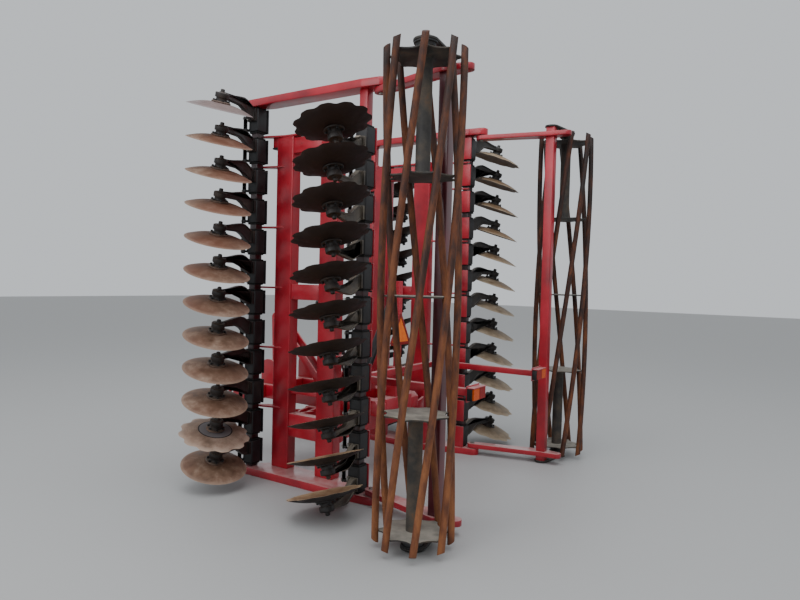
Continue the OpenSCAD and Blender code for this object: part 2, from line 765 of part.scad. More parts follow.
// Roller frame: a square tube, two arms round it and two bearing plates on its ends
module roller_frame(side) {
    hole = frame_tube_w / 2 + seat;
    eye = frame_tube_w * 0.71 + 10;
    color(paint) on_side(side) {
        translate([frame_tube_x, frame_tube_y, plate_low + plate_t + seat])
            linear_extrude(plate_high - plate_low - plate_t - 2 * seat)
                cut_square(frame_tube_w, frame_tube_w, 5);
        for (z = arm_levels) translate([0, 0, z]) difference() {
            linear_extrude(arm_beam_t) {
                strap([beam_x, -pivot_back], lug_r * 0.8, [frame_tube_x, frame_tube_y], eye);
                strap([frame_tube_x, frame_tube_y], eye,
                    [frame_tube_x - 8, frame_tube_y - arm_over], arm_beam_w / 2);
            }
            translate([beam_x, -pivot_back, -1])
                cylinder(r = pivot_pin_r + pin_play, h = arm_beam_t + 2, $fn = 48);
            block([frame_tube_x - hole, frame_tube_y - hole, -1],
                [frame_tube_x + hole, frame_tube_y + hole, arm_beam_t + 1]);
        }
        for (z = [plate_low, plate_high]) translate([0, 0, z]) difference() {
            linear_extrude(plate_t) strap([frame_tube_x, frame_tube_y], 60, [roller_x, roller_y], 78);
            translate([roller_x, roller_y, -1])
                cylinder(r = journal_r + pin_play, h = plate_t + 2, $fn = 48);
        }
    }
}

// Flanged bearings on the inner faces of the bearing plates
module roller_bearings(side) {
    flange_t = 12;
    body_h = 40;
    color(black) on_side(side)
        for (end = [-1, 1])
            translate([roller_x, roller_y, end < 0 ? plate_low + plate_t : plate_high])
                mirror([0, 0, end < 0 ? 0 : 1]) difference() {
                    union() {
                        cylinder(r = bearing_r + 12, h = flange_t, $fn = 48);
                        cylinder(r = bearing_r, h = body_h - 8, $fn = 48);
                        cylinder(r = bearing_r - 12, h = body_h, $fn = 48);
                    }
                    translate([0, 0, -1]) cylinder(r = journal_r + pin_play, h = body_h + 2, $fn = 48);
                }
}

// Pins of the roller arms, with heads on the end beams
module pivot_pins(side) {
    pin_len = end_t + arm_gap + arm_beam_t + 6;
    color(steel) on_side(side) {
        translate([beam_x, -pivot_back, 2]) cylinder(r = pivot_pin_r, h = pin_len, $fn = 48);
        translate([beam_x, -pivot_back, wing_top - pin_len - 2])
            cylinder(r = pivot_pin_r, h = pin_len + 2, $fn = 48);
        translate([beam_x, -pivot_back, wing_top]) cylinder(r = pivot_pin_r + 18, h = 8, $fn = 48);
    }
}

// Ring plates, whose edges are hollowed between the bars, a tube between the last two rings at
// each end, and the journals: between its inner rings the cage is open
module roller_core(side) {
    flat_r = bar_circle - bar_r * cos(180 / bar_sides) - seat;
    half_step = 180 / bars;
    hollow_r = 105;
    color(steel) translate([side * roller_x, roller_y, 0]) {
        for (z = [ring_low, ring_high - ring_step]) translate([0, 0, z])
            cylinder(r = roller_tube_r, h = ring_step, $fn = 48);
        for (z = [plate_low + 2, ring_high]) translate([0, 0, z])
            cylinder(r = journal_r, h = ring_low - plate_low - 2, $fn = 48);
        for (i = [0:rings - 1]) {
            z = ring_low + i * ring_step;
            turn = bar_phase + bar_twist * (z - bar_low) / (bar_high - bar_low);
            translate([0, 0, z - ring_t / 2]) difference() {
                cylinder(r = flat_r, h = ring_t, $fn = 64);
                for (k = [0:bars - 1]) rotate(turn + (2 * k + 1) * half_step)
                    translate([flat_r + hollow_r - ring_hollow, 0, -1])
                        cylinder(r = hollow_r, h = ring_t + 2, $fn = 48);
            }
        }
    }
}

// One bar of the cage, wound round the axis as a right-hand helix with one flat inwards and
// both ends cut on a slant that faces outwards
module twisted_bar(start) {
    len = bar_high - bar_low;
    turns = [for (k = [0:bar_sides - 1]) (k + 0.5) * 360 / bar_sides];
    function cut(b) = bar_cut * (1 + cos(b)) / 2;
    function height(j, b) = j == 0 ? cut(b) : j == bar_steps ? len - cut(b) : len * j / bar_steps;
    points = [for (j = [0:bar_steps], b = turns) let (a = start + bar_twist * height(j, b) / len)
        [bar_circle * cos(a) + bar_r * cos(a + b), bar_circle * sin(a) + bar_r * sin(a + b), height(j, b)]];
    walls = [for (j = [0:bar_steps - 1]) for (k = [0:bar_sides - 1])
        let (p = j * bar_sides + k, q = j * bar_sides + (k + 1) % bar_sides)
            each [[p, p + bar_sides, q + bar_sides], [p, q + bar_sides, q]]];
    ends = [[for (k = [0:bar_sides - 1]) k],
        [for (k = [0:bar_sides - 1]) (bar_steps + 1) * bar_sides - 1 - k]];
    polyhedron(points, concat(walls, ends));
}

module roller_bars(side) {
    color(rust) translate([side * roller_x, roller_y, bar_low])
        for (i = [0:bars - 1]) twisted_bar(bar_phase + i * 360 / bars);
}

// Folding cylinders lie along their own axis when folded
module along_cylinder(side) {
    on_side(side) translate([base_x, cyl_y, base_z]) rotate([0, -cyl_angle, 0]) children();
}

module cylinder_barrel(side) {
    from = eye_r * 0.7;
    color(black) along_cylinder(side) difference() {
        union() {
            rotate([90, 0, 0]) cylinder(r = eye_r, h = 2 * barrel_r - 16, center = true, $fn = 48);
            translate([from, 0, 0]) rotate([0, 90, 0])
                cylinder(r = barrel_r - 3, h = barrel_len - from - 50, $fn = 48);
            translate([barrel_len - 60, 0, 0]) rotate([0, 90, 0]) cylinder(r = barrel_r, h = 60, $fn = 48);
        }
        rotate([90, 0, 0]) cylinder(r = cyl_pin_r + pin_play, h = 4 * barrel_r, center = true, $fn = 48);
        translate([eye_r + 20, 0, 0]) rotate([0, 90, 0])
            cylinder(r = rod_r + seat, h = barrel_len, $fn = 48);
    }
}

module cylinder_rod(side) {
    color(steel) along_cylinder(side) difference() {
        union() {
            translate([eye_r + 25, 0, 0]) rotate([0, 90, 0])
                cylinder(r = rod_r, h = cyl_len - eye_r - 25, $fn = 48);
            translate([cyl_len, 0, 0]) rotate([90, 0, 0])
                cylinder(r = rod_eye_r, h = 56, center = true, $fn = 48);
        }
        translate([cyl_len, 0, 0]) rotate([90, 0, 0])
            cylinder(r = cyl_pin_r + pin_play, h = 80, center = true, $fn = 48);
    }
}

at_middle() centre_frame();
at_middle() long_tubes();
at_middle() centre_lugs();
at_middle() cylinder_tower();
at_middle() headstock();
at_middle() hinge_pins();
at_middle() cylinder_pins();
at_middle() lamp_arms();
at_middle() rear_lamps();
at_middle() slow_sign();
at_middle() wing_frame(left);  // wing_frame_left
at_middle() wing_frame(right);  // wing_frame_right
at_middle() rungs(left);  // rungs_left
at_middle() rungs(right);  // rungs_right
at_middle() end_beams(left);  // end_beams_left
at_middle() end_beams(right);  // end_beams_right
at_middle() link_plates(left);  // link_plates_left
at_middle() link_plates(right);  // link_plates_right
at_middle() hinge_lugs(left);  // hinge_lugs_left
at_middle() hinge_lugs(right);  // hinge_lugs_right
at_middle() back_plates(left);  // back_plates_left
at_middle() back_plates(right);  // back_plates_right
at_middle() clamps(front_left);  // clamps_front_left
at_middle() clamps(rear_left);  // clamps_rear_left
at_middle() clamps(front_right);  // clamps_front_right
at_middle() clamps(rear_right);  // clamps_rear_right
at_middle() arms(front_left);  // arms_front_left
at_middle() arms(rear_left);  // arms_rear_left
at_middle() arms(front_right);  // arms_front_right
at_middle() arms(rear_right);  // arms_rear_right
at_middle() discs(front_left);  // discs_front_left
at_middle() discs(rear_left);  // discs_rear_left
at_middle() discs(front_right);  // discs_front_right
at_middle() discs(rear_right);  // discs_rear_right
at_middle() pivot_pins(left);  // pivot_pins_left
at_middle() pivot_pins(right);  // pivot_pins_right
at_middle() roller_frame(left);  // roller_frame_left
at_middle() roller_frame(right);  // roller_frame_right
at_middle() roller_bearings(left);  // roller_bearings_left
at_middle() roller_bearings(right);  // roller_bearings_right
at_middle() roller_core(left);  // roller_core_left
at_middle() roller_core(right);  // roller_core_right
at_middle() roller_bars(left);  // roller_bars_left
at_middle() roller_bars(right);  // roller_bars_right
at_middle() cylinder_barrel(left);  // cylinder_barrel_left
at_middle() cylinder_barrel(right);  // cylinder_barrel_right
at_middle() cylinder_rod(left);  // cylinder_rod_left
at_middle() cylinder_rod(right);  // cylinder_rod_right
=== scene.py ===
import json
import math

import bpy
from mathutils import Matrix, Vector

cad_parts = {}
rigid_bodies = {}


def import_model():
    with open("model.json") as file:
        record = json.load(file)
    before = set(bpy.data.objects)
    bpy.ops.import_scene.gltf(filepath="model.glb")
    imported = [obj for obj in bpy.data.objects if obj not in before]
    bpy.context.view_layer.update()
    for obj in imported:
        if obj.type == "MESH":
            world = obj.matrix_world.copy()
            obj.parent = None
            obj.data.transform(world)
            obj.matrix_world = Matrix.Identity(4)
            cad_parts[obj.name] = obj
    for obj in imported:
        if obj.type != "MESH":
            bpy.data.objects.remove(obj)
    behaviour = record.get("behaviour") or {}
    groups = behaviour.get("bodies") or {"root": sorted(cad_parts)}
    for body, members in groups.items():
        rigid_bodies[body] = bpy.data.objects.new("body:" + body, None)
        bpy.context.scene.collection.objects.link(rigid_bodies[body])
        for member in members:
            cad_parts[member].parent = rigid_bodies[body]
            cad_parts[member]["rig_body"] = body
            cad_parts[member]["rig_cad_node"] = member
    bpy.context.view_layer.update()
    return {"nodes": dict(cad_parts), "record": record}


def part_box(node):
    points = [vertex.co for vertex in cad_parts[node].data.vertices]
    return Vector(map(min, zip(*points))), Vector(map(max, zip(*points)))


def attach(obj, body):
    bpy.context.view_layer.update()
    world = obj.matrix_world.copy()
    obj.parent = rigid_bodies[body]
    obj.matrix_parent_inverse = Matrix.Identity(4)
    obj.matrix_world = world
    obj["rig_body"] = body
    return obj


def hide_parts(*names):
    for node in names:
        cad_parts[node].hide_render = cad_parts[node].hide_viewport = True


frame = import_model()
scene = bpy.context.scene
mm = 0.001
sides = {"left": -1, "right": 1}

# the frame's origin lies halfway along the machine, this far in front of the rear disc beams
middleY = 348.5 * mm

# the four rows: side, beam place, middle of the first clamp, units, which way the hubs point
rows = {
    "front_left": {"side": -1, "beamY": 1110, "firstClamp": 185, "count": 12, "hub": 1},
    "rear_left": {"side": -1, "beamY": 0, "firstClamp": 167, "count": 11, "hub": -1},
    "front_right": {"side": 1, "beamY": 1110, "firstClamp": 167, "count": 11, "hub": -1},
    "rear_right": {"side": 1, "beamY": 0, "firstClamp": 162, "count": 12, "hub": 1},
}
unit = {
    "pitch": 250,          # spacing along a beam
    "beamX": 835,
    "clampShift": 20,      # clamp middle above the rim, on the hub's side
    "discOut": 455,
    "discBack": 60,
    "gang": 17,            # degrees across the travel
    "tilt": 4.5,
}


def objectMode():
    bpy.ops.object.mode_set(mode="OBJECT")


def deselectAll():
    if bpy.context.mode != "OBJECT":
        objectMode()
    bpy.ops.object.select_all(action="DESELECT")


def pick(piece):
    deselectAll()
    piece.hide_set(False)
    piece.select_set(True)
    bpy.context.view_layer.objects.active = piece


def editAll(piece):
    pick(piece)
    bpy.ops.object.mode_set(mode="EDIT")
    bpy.ops.mesh.select_all(action="SELECT")


def faceOutward(piece):
    editAll(piece)
    bpy.ops.mesh.normals_make_consistent(inside=False)
    objectMode()


def extrudeUp(height):
    bpy.ops.mesh.extrude_region_move(TRANSFORM_OT_translate={"value": (0, 0, height)})


def clearSelected(piece):
    for group in (piece.data.vertices, piece.data.edges, piece.data.polygons):
        for item in group:
            item.select = False


def applyPlace(piece):
    pick(piece)
    bpy.ops.object.transform_apply(location=True, rotation=True, scale=True)


def applyModifier(piece, kind, **settings):
    pick(piece)
    bpy.ops.object.modifier_add(type=kind)
    modifier = piece.modifiers[-1]
    for key, value in settings.items():
        setattr(modifier, key, value)
    bpy.ops.object.modifier_apply(modifier=modifier.name)


def bevelEdges(piece, width, segments, degrees, **more):
    applyModifier(piece, "BEVEL", width=width * mm, segments=segments, limit_method="ANGLE",
                  angle_limit=math.radians(degrees), **more)


def smooth(piece, degrees):
    pick(piece)
    bpy.ops.object.shade_smooth_by_angle(angle=math.radians(degrees))


def coat(piece, *finishes):
    piece.data.materials.clear()
    for finish in finishes:
        piece.data.materials.append(finish)


def placedCopy(piece, place):
    twin = piece.copy()
    twin.data = piece.data.copy()
    scene.collection.objects.link(twin)
    twin.data.transform(place)
    if place.determinant() < 0:
        twin.data.flip_normals()
    return twin


def joined(pieces, name):
    deselectAll()
    for piece in pieces:
        piece.select_set(True)
    bpy.context.view_layer.objects.active = pieces[0]
    if len(pieces) > 1:
        bpy.ops.object.join()
    whole = bpy.context.view_layer.objects.active
    whole.name = name
    whole.data.name = name
    return whole


def drop(piece):
    bpy.data.objects.remove(piece, do_unlink=True)


def bodyOf(node):
    return frame["nodes"][node]["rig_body"]


def sideMirror(side):
    return Matrix.Diagonal((side, 1, 1, 1))


def clampPlaces(row):
    # one matrix per unit: at the clamp's middle, hub side up
    plan = rows[row]
    for i in range(plan["count"]):
        z = plan["firstClamp"] + i * unit["pitch"]
        spot = Vector((unit["beamX"], plan["beamY"], z)) * mm - Vector((0, middleY, 0))
        yield (sideMirror(plan["side"]) @ Matrix.Translation(spot)
               @ Matrix.Diagonal((1, 1, plan["hub"], 1)))


def discPlaces(row):
    # the same unit, at the rim's plane of its disc
    tilt = Matrix.Rotation(math.radians(unit["tilt"]), 4, "Y")
    gang = Matrix.Rotation(math.radians(unit["gang"]), 4, "X")
    step = Vector((unit["discOut"], -unit["discBack"], -unit["clampShift"])) * mm
    for place in clampPlaces(row):
        yield place @ Matrix.Translation(step) @ tilt @ gang


print("stage: camera, floor and light")

cameraPlan = {
    "place": (-4.571, -3.10, 1.64),
    "yaw": 57.14,          # degrees right of the direction of travel
    "pitch": 1.73,         # degrees down
    "roll": 1.474,
    "lens": 28.134,        # for a sensor this wide
    "sensor": 36,
    "clipEnd": 200,
}


def makeCamera(plan):
    yaw, pitch, roll = (math.radians(plan[k]) for k in ("yaw", "pitch", "roll"))
    level = Vector((math.cos(yaw), -math.sin(yaw), 0))
    ahead = Vector((math.sin(yaw) * math.cos(pitch), math.cos(yaw) * math.cos(pitch), -math.sin(pitch)))
    above = level.cross(ahead)
    across = level * math.cos(roll) + above * math.sin(roll)
    upward = above * math.cos(roll) - level * math.sin(roll)
    turn = Matrix((across, upward, -ahead)).transposed().to_4x4()
    bpy.ops.object.camera_add()
    camera = bpy.context.object
    camera.name = "photoCamera"
    camera.matrix_world = Matrix.Translation(plan["place"]) @ turn
    camera.data.lens = plan["lens"]
    camera.data.sensor_width = plan["sensor"]
    camera.data.sensor_fit = "HORIZONTAL"
    camera.data.clip_end = plan["clipEnd"]
    scene.camera = camera


makeCamera(cameraPlan)


def linear(code):
    # sRGB hex to linear
    parts = [int(code[i:i + 2], 16) / 255 for i in (1, 3, 5)]
    return tuple(c / 12.92 if c <= 0.04045 else ((c + 0.055) / 1.055) ** 2.4 for c in parts) + (1,)


def addNode(tree, kind, inputs=None, stops=None, **settings):
    node = tree.nodes.new(kind)
    for key, value in settings.items():
        setattr(node, key, value)
    for key, value in (inputs or {}).items():
        if isinstance(value, bpy.types.NodeSocket):
            tree.links.new(value, node.inputs[key])
        else:
            node.inputs[key].default_value = value
    if stops:
        stops = list(stops)
        bands = node.color_ramp.elements
        while len(bands) < len(stops):
            bands.new(0.5)
        for band, (spot, code) in zip(bands, stops):
            band.position = spot
            band.color = linear(code)
    return node


def newMaterial(name):
    material = bpy.data.materials.new(name)
    material.use_nodes = True
    tree = material.node_tree
    tree.nodes.clear()
    return material, tree


def closeMaterial(tree, shaderInputs):
    shader = addNode(tree, "ShaderNodeBsdfPrincipled", shaderInputs)
    addNode(tree, "ShaderNodeOutputMaterial", {"Surface": shader.outputs["BSDF"]})


floorPlan = {"size": 80, "tone": "#a9a9a8", "roughness": 0.55}


def makeFloor(plan):
    bpy.ops.mesh.primitive_plane_add(size=plan["size"])
    floor = bpy.context.object
    floor.name = "paleFloor"
    material, tree = newMaterial("smoothPaleFloor")
    closeMaterial(tree, {"Base Color": linear(plan["tone"]), "Roughness": plan["roughness"]})
    coat(floor, material)


makeFloor(floorPlan)

skyPlan = {"tone": "#d6dade", "strength": 1.0}
lightPlan = {
    "overhead": {"place": (-2.0, -1.5, 7.5), "aim": (0, 0, 1.2), "size": 9, "power": 470,
                 "tint": "#f4f7fb"},
    "fromLeft": {"place": (-7.5, 1.0, 4.5), "aim": (0, 0.2, 1.5), "size": 5, "power": 150,
                 "tint": "#ffffff"},
}


def makeSky(plan):
    world = bpy.data.worlds.new("overcast")
    scene.world = world
    world.use_nodes = True
    tree = world.node_tree
    tree.nodes.clear()
    back = addNode(tree, "ShaderNodeBackground", {
        "Color": linear(plan["tone"]), "Strength": plan["strength"]})
    addNode(tree, "ShaderNodeOutputWorld", {"Surface": back.outputs["Background"]})


def makeLight(name, plan):
    bpy.ops.object.light_add(type="AREA", location=plan["place"])
    light = bpy.context.object
    light.name = name
    light.data.shape = "DISK"
    light.data.size = plan["size"]
    light.data.energy = plan["power"]
    light.data.color = linear(plan["tint"])[:3]
    aim = Vector(plan["aim"]) - Vector(plan["place"])
    light.rotation_euler = aim.to_track_quat("-Z", "Y").to_euler()


makeSky(skyPlan)
for name, plan in lightPlan.items():
    makeLight(name, plan)

print("stage: materials")


def scaleOf(size):
    # the scale that makes the marks of a pattern this many millimetres across
    return 1 / (size * mm)


def objectCoordinates(tree):
    return addNode(tree, "ShaderNodeTexCoord").outputs["Object"]


def dustAndSheenOnTops(tree, under, tone, most):
    # dry dust on the faces that look up, with a painted sky sheen on them as well, in patches of 70 mm
    facing = addNode(tree, "ShaderNodeSeparateXYZ", {
        "Vector": addNode(tree, "ShaderNodeTexCoord").outputs["Normal"]})
    level = addNode(tree, "ShaderNodeMapRange", {
        "Value": facing.outputs["Z"], "From Min": 0.45, "From Max": 0.95, "To Min": 0.0, "To Max": most})
    drift = addNode(tree, "ShaderNodeTexNoise", {
        "Vector": objectCoordinates(tree), "Scale": scaleOf(71.43), "Detail": 5.0})
    patchy = addNode(tree, "ShaderNodeMapRange", {
        "Value": drift.outputs["Fac"], "From Min": 0.3, "From Max": 0.6, "To Min": 0.55, "To Max": 1.0})
    share = addNode(tree, "ShaderNodeMath", {0: level.outputs["Result"], 1: patchy.outputs["Result"]},
                    operation="MULTIPLY")
    return addNode(tree, "ShaderNodeMix", {0: share.outputs[0], 6: under, 7: linear(tone)},
                   data_type="RGBA").outputs[2]


def closeWorn(tree, colour, noise, dull, grain, more):
    # the roughness runs from one end of dull to the other with the noise that gave the colour;
    # the grain is the fine relief of the surface: size in mm, detail, strength and depth in mm
    low, high, smoothest, roughest = dull
    size, detail, strength, depth = grain
    rough = addNode(tree, "ShaderNodeMapRange", {
        "Value": noise.outputs["Fac"], "From Min": low, "From Max": high,
        "To Min": smoothest, "To Max": roughest})
    fine = addNode(tree, "ShaderNodeTexNoise", {
        "Vector": objectCoordinates(tree), "Scale": scaleOf(size), "Detail": detail})
    bump = addNode(tree, "ShaderNodeBump", {
        "Strength": strength, "Distance": depth * mm, "Height": fine.outputs["Fac"]})
    closeMaterial(tree, {"Base Color": colour, "Roughness": rough.outputs["Result"],
                         "Normal": bump.outputs["Normal"], **more})


def makeRedPaint(name, tones, dustAndSheenTone):
    # sprayed two-pack enamel over sandblasted steel: an even red with a soft shine, in clouds of about 300
    # mm, dulled by dust, streaks and chips; its top faces are lighter with dust and a painted sky sheen
    material, tree = newMaterial(name)
    where = objectCoordinates(tree)
    film = addNode(tree, "ShaderNodeTexNoise", {
        "Vector": where, "Scale": scaleOf(312.5), "Detail": 6.0, "Roughness": 0.6})
    tone = addNode(tree, "ShaderNodeValToRGB", {"Fac": film.outputs["Fac"]}, zip((0.30, 0.55, 0.80), tones))
    # dirty water ran down in streaks about 40 mm wide and 600 mm long
    stretch = addNode(tree, "ShaderNodeMapping", {
        "Vector": where, "Scale": (scaleOf(41.67), scaleOf(41.67), scaleOf(625))})
    streak = addNode(tree, "ShaderNodeTexNoise", {
        "Vector": stretch.outputs["Vector"], "Scale": 1.0, "Detail": 5.0})
    run = addNode(tree, "ShaderNodeValToRGB", {"Fac": streak.outputs["Fac"]},
                  [(0.52, "#000000"), (0.74, "#3c3c3c")])
    dusty = addNode(tree, "ShaderNodeMix", {
        0: run.outputs["Color"], 6: tone.outputs["Color"], 7: linear("#6d4a44")}, data_type="RGBA")
    # lighter tops: dust and a painted sky sheen
    dustAndSheen = dustAndSheenOnTops(tree, dusty.outputs[2], dustAndSheenTone, 0.72)
    # chips to bare rusted steel, up to 25 mm across
    chip = addNode(tree, "ShaderNodeTexNoise", {
        "Vector": where, "Scale": scaleOf(26.32), "Detail": 4.0, "Roughness": 0.65})
    chipMask = addNode(tree, "ShaderNodeValToRGB", {"Fac": chip.outputs["Fac"]},
                       [(0.70, "#000000"), (0.73, "#ffffff")])
    colour = addNode(tree, "ShaderNodeMix", {
        0: chipMask.outputs["Color"], 6: dustAndSheen, 7: linear("#4a2a20")}, data_type="RGBA")
    # orange peel of about 3 mm, drawn a little coarse so that it shows
    closeWorn(tree, colour.outputs[2], film, (0.3, 0.8, 0.28, 0.5), (3.03, 2.0, 0.05, 1.0),
              {"Coat Weight": 0.4, "Coat Roughness": 0.22})
    return material


def makeBlackCastings(name, tones, dustAndSheenTone):
    # black dip paint over forged and cast steel: uneven satin black with brown dust in the
    # hollows, in clouds of about 110 mm over forging scale of about 4 mm
    material, tree = newMaterial(name)
    cloud = addNode(tree, "ShaderNodeTexNoise", {
        "Vector": objectCoordinates(tree), "Scale": scaleOf(111.1), "Detail": 7.0, "Roughness": 0.62})
    colour = addNode(tree, "ShaderNodeValToRGB", {"Fac": cloud.outputs["Fac"]},
                     zip((0.35, 0.56, 0.68, 0.82), tones))
    # lighter tops: dust and a painted sky sheen
    dustAndSheen = dustAndSheenOnTops(tree, colour.outputs["Color"], dustAndSheenTone, 0.6)
    closeWorn(tree, dustAndSheen, cloud, (0.35, 0.75, 0.38, 0.75), (4.167, 3.0, 0.22, 1.5), {})
    return material


# what lies in rings on a disc, by its radius
ringPlan = {
    "spacing": 12.08,      # from one wear ring to the next
    "depth": 0.035,        # how far they shift the tone and the relief
    "brightFrom": 222,     # the rim that the ground keeps bright
    "brightTo": 262,
    "bareFrom": 120,       # the bare middle of a new disc fades out
    "bareTo": 128,
    "pressRing": 126,      # the dark ring that the press left, and half its width
    "pressWide": 4.5,
}


def makeDiscSteel(name, tones, rustTone, shine, middle=None):
    # rolled boron steel, air rusted between jobs and dusted with dry soil: concentric wear rings
    # and a rim that the ground keeps brighter
    plan = ringPlan
    material, tree = newMaterial(name)
    where = objectCoordinates(tree)
    ownMap = addNode(tree, "ShaderNodeUVMap", uv_map="discMap")
    radius = addNode(tree, "ShaderNodeSeparateXYZ", {"Vector": ownMap.outputs["UV"]}).outputs["X"]
    patch = addNode(tree, "ShaderNodeTexNoise", {
        "Vector": where, "Scale": scaleOf(90.9), "Detail": 8.0, "Roughness": 0.66})
    wave = addNode(tree, "ShaderNodeMath", {0: radius, 1: math.tau / (plan["spacing"] * mm)},
                   operation="MULTIPLY")
    sine = addNode(tree, "ShaderNodeMath", {0: wave.outputs[0]}, operation="SINE")
    ring = addNode(tree, "ShaderNodeMath", {0: sine.outputs[0], 1: plan["depth"]}, operation="MULTIPLY")
    mixed = addNode(tree, "ShaderNodeMath", {0: patch.outputs["Fac"], 1: ring.outputs[0]}, operation="ADD")
    dust = addNode(tree, "ShaderNodeValToRGB", {"Fac": mixed.outputs[0]}, zip((0.30, 0.50, 0.72), tones))
    # rust spots of about 20 mm
    spot = addNode(tree, "ShaderNodeTexNoise", {
        "Vector": where, "Scale": scaleOf(21.74), "Detail": 5.0, "Roughness": 0.7})
    spotMask = addNode(tree, "ShaderNodeValToRGB", {"Fac": spot.outputs["Fac"]},
                       [(0.53, "#000000"), (0.70, "#b0b0b0")])
    rusted = addNode(tree, "ShaderNodeMix", {
        0: spotMask.outputs["Color"], 6: dust.outputs["Color"], 7: linear(rustTone)}, data_type="RGBA")
    # rust comes and goes over half a metre: more where the discs dry high up, less near the ground
    height = addNode(tree, "ShaderNodeSeparateXYZ", {"Vector": where})
    level = addNode(tree, "ShaderNodeMapRange", {
        "Value": height.outputs["Z"], "From Min": 0.5, "From Max": 2.4, "To Min": -0.22, "To Max": 0.12})
    batch = addNode(tree, "ShaderNodeTexNoise", {"Vector": where, "Scale": scaleOf(526.3), "Detail": 1.0})
    batchSum = addNode(tree, "ShaderNodeMath", {0: batch.outputs["Fac"], 1: level.outputs["Result"]},
                       operation="ADD")
    batchMask = addNode(tree, "ShaderNodeMapRange", {
        "Value": batchSum.outputs[0], "From Min": 0.38, "From Max": 0.62, "To Min": 0.0, "To Max": 0.6})
    aged = addNode(tree, "ShaderNodeMix", {
        0: batchMask.outputs["Result"], 6: rusted.outputs[2], 7: linear(rustTone)}, data_type="RGBA")
    rim = addNode(tree, "ShaderNodeMapRange", {
        "Value": radius, "From Min": plan["brightFrom"] * mm, "From Max": plan["brightTo"] * mm,
        "To Min": 0.0, "To Max": 0.75})
    colour = addNode(tree, "ShaderNodeMix", {
        0: rim.outputs["Result"], 6: aged.outputs[2], 7: linear(tones[2])}, data_type="RGBA")
    if middle:
        # bare blue-grey steel inside the dark ring
        inside = addNode(tree, "ShaderNodeMapRange", {
            "Value": radius, "From Min": plan["bareFrom"] * mm, "From Max": plan["bareTo"] * mm,
            "To Min": 0.8, "To Max": 0.0})
        bare = addNode(tree, "ShaderNodeMix", {
            0: inside.outputs["Result"], 6: colour.outputs[2], 7: linear(middle[0])}, data_type="RGBA")
        onRing = addNode(tree, "ShaderNodeMath", {
            0: radius, 1: plan["pressRing"] * mm, 2: plan["pressWide"] * mm}, operation="COMPARE")
        colour = addNode(tree, "ShaderNodeMix", {
            0: onRing.outputs[0], 6: bare.outputs[2], 7: linear(middle[1])}, data_type="RGBA")
    rough = addNode(tree, "ShaderNodeMapRange", {
        "Value": patch.outputs["Fac"], "From Min": 0.3, "From Max": 0.7, "To Min": 0.45, "To Max": 0.8})
    bumpSum = addNode(tree, "ShaderNodeMath", {0: spot.outputs["Fac"], 1: ring.outputs[0]}, operation="ADD")
    bump = addNode(tree, "ShaderNodeBump", {
        "Strength": 0.25, "Distance": 2 * mm, "Height": bumpSum.outputs[0]})
    closeMaterial(tree, {"Base Color": colour.outputs[2], "Metallic": shine,
                         "Roughness": rough.outputs["Result"], "Normal": bump.outputs["Normal"]})
    return material


def makeRustyBars():
    # hot-rolled round bar with loose rust: brown with orange bloom in patches of about 60 mm,
    # drawn out along the bar, dark bare places and grit of about 2 mm
    material, tree = newMaterial("rustedRoundBar")
    where = objectCoordinates(tree)
    stretch = addNode(tree, "ShaderNodeMapping", {"Vector": where, "Scale": (1, 1, 0.3)})
    bloom = addNode(tree, "ShaderNodeTexNoise", {
        "Vector": stretch.outputs["Vector"], "Scale": scaleOf(62.5), "Detail": 8.0, "Roughness": 0.68})
    height = addNode(tree, "ShaderNodeSeparateXYZ", {"Vector": where})
    # darker towards the upper ends, more orange towards the lower ones
    shift = addNode(tree, "ShaderNodeMapRange", {
        "Value": height.outputs["Z"], "From Min": 0.3, "From Max": 2.9, "To Min": 0.11, "To Max": -0.09})
    # the bars of the right roller are darker
    sideShift = addNode(tree, "ShaderNodeMapRange", {
        "Value": height.outputs["X"], "From Min": -1.0, "From Max": 1.0, "To Min": 0.0, "To Max": -0.09})
    shiftSum = addNode(tree, "ShaderNodeMath", {
        0: shift.outputs["Result"], 1: sideShift.outputs["Result"]}, operation="ADD")
    mixed = addNode(tree, "ShaderNodeMath", {
        0: bloom.outputs["Fac"], 1: shiftSum.outputs[0]}, operation="ADD")
    colour = addNode(tree, "ShaderNodeValToRGB", {"Fac": mixed.outputs[0]},
                     [(0.28, "#20110c"), (0.42, "#432519"), (0.56, "#6f3f25"), (0.74, "#925c37")])
    closeWorn(tree, colour.outputs["Color"], bloom, (0.3, 0.7, 0.5, 0.88), (2.381, 3.0, 0.35, 1.5),
              {"Metallic": 0.15})
    return material


def makeRollerCore():
    # structural steel tube and plates with worn primer, dried mud and rust: grey-green to tan, in
    # patches of about 140 mm with 5 mm crumbs of mud
    material, tree = newMaterial("wornPrimedSteel")
    mud = addNode(tree, "ShaderNodeTexNoise", {
        "Vector": objectCoordinates(tree), "Scale": scaleOf(142.9), "Detail": 8.0, "Roughness": 0.65})
    colour = addNode(tree, "ShaderNodeValToRGB", {"Fac": mud.outputs["Fac"]},
                     [(0.32, "#211e1d"), (0.48, "#383531"), (0.62, "#554a3f"), (0.78, "#7a5233")])
    # lighter tops: dust and a painted sky sheen
    dustAndSheen = dustAndSheenOnTops(tree, colour.outputs["Color"], "#a39d91", 0.7)
    closeWorn(tree, dustAndSheen, mud, (0.3, 0.7, 0.5, 0.85), (5, 4.0, 0.3, 2.0), {"Metallic": 0.1})
    return material


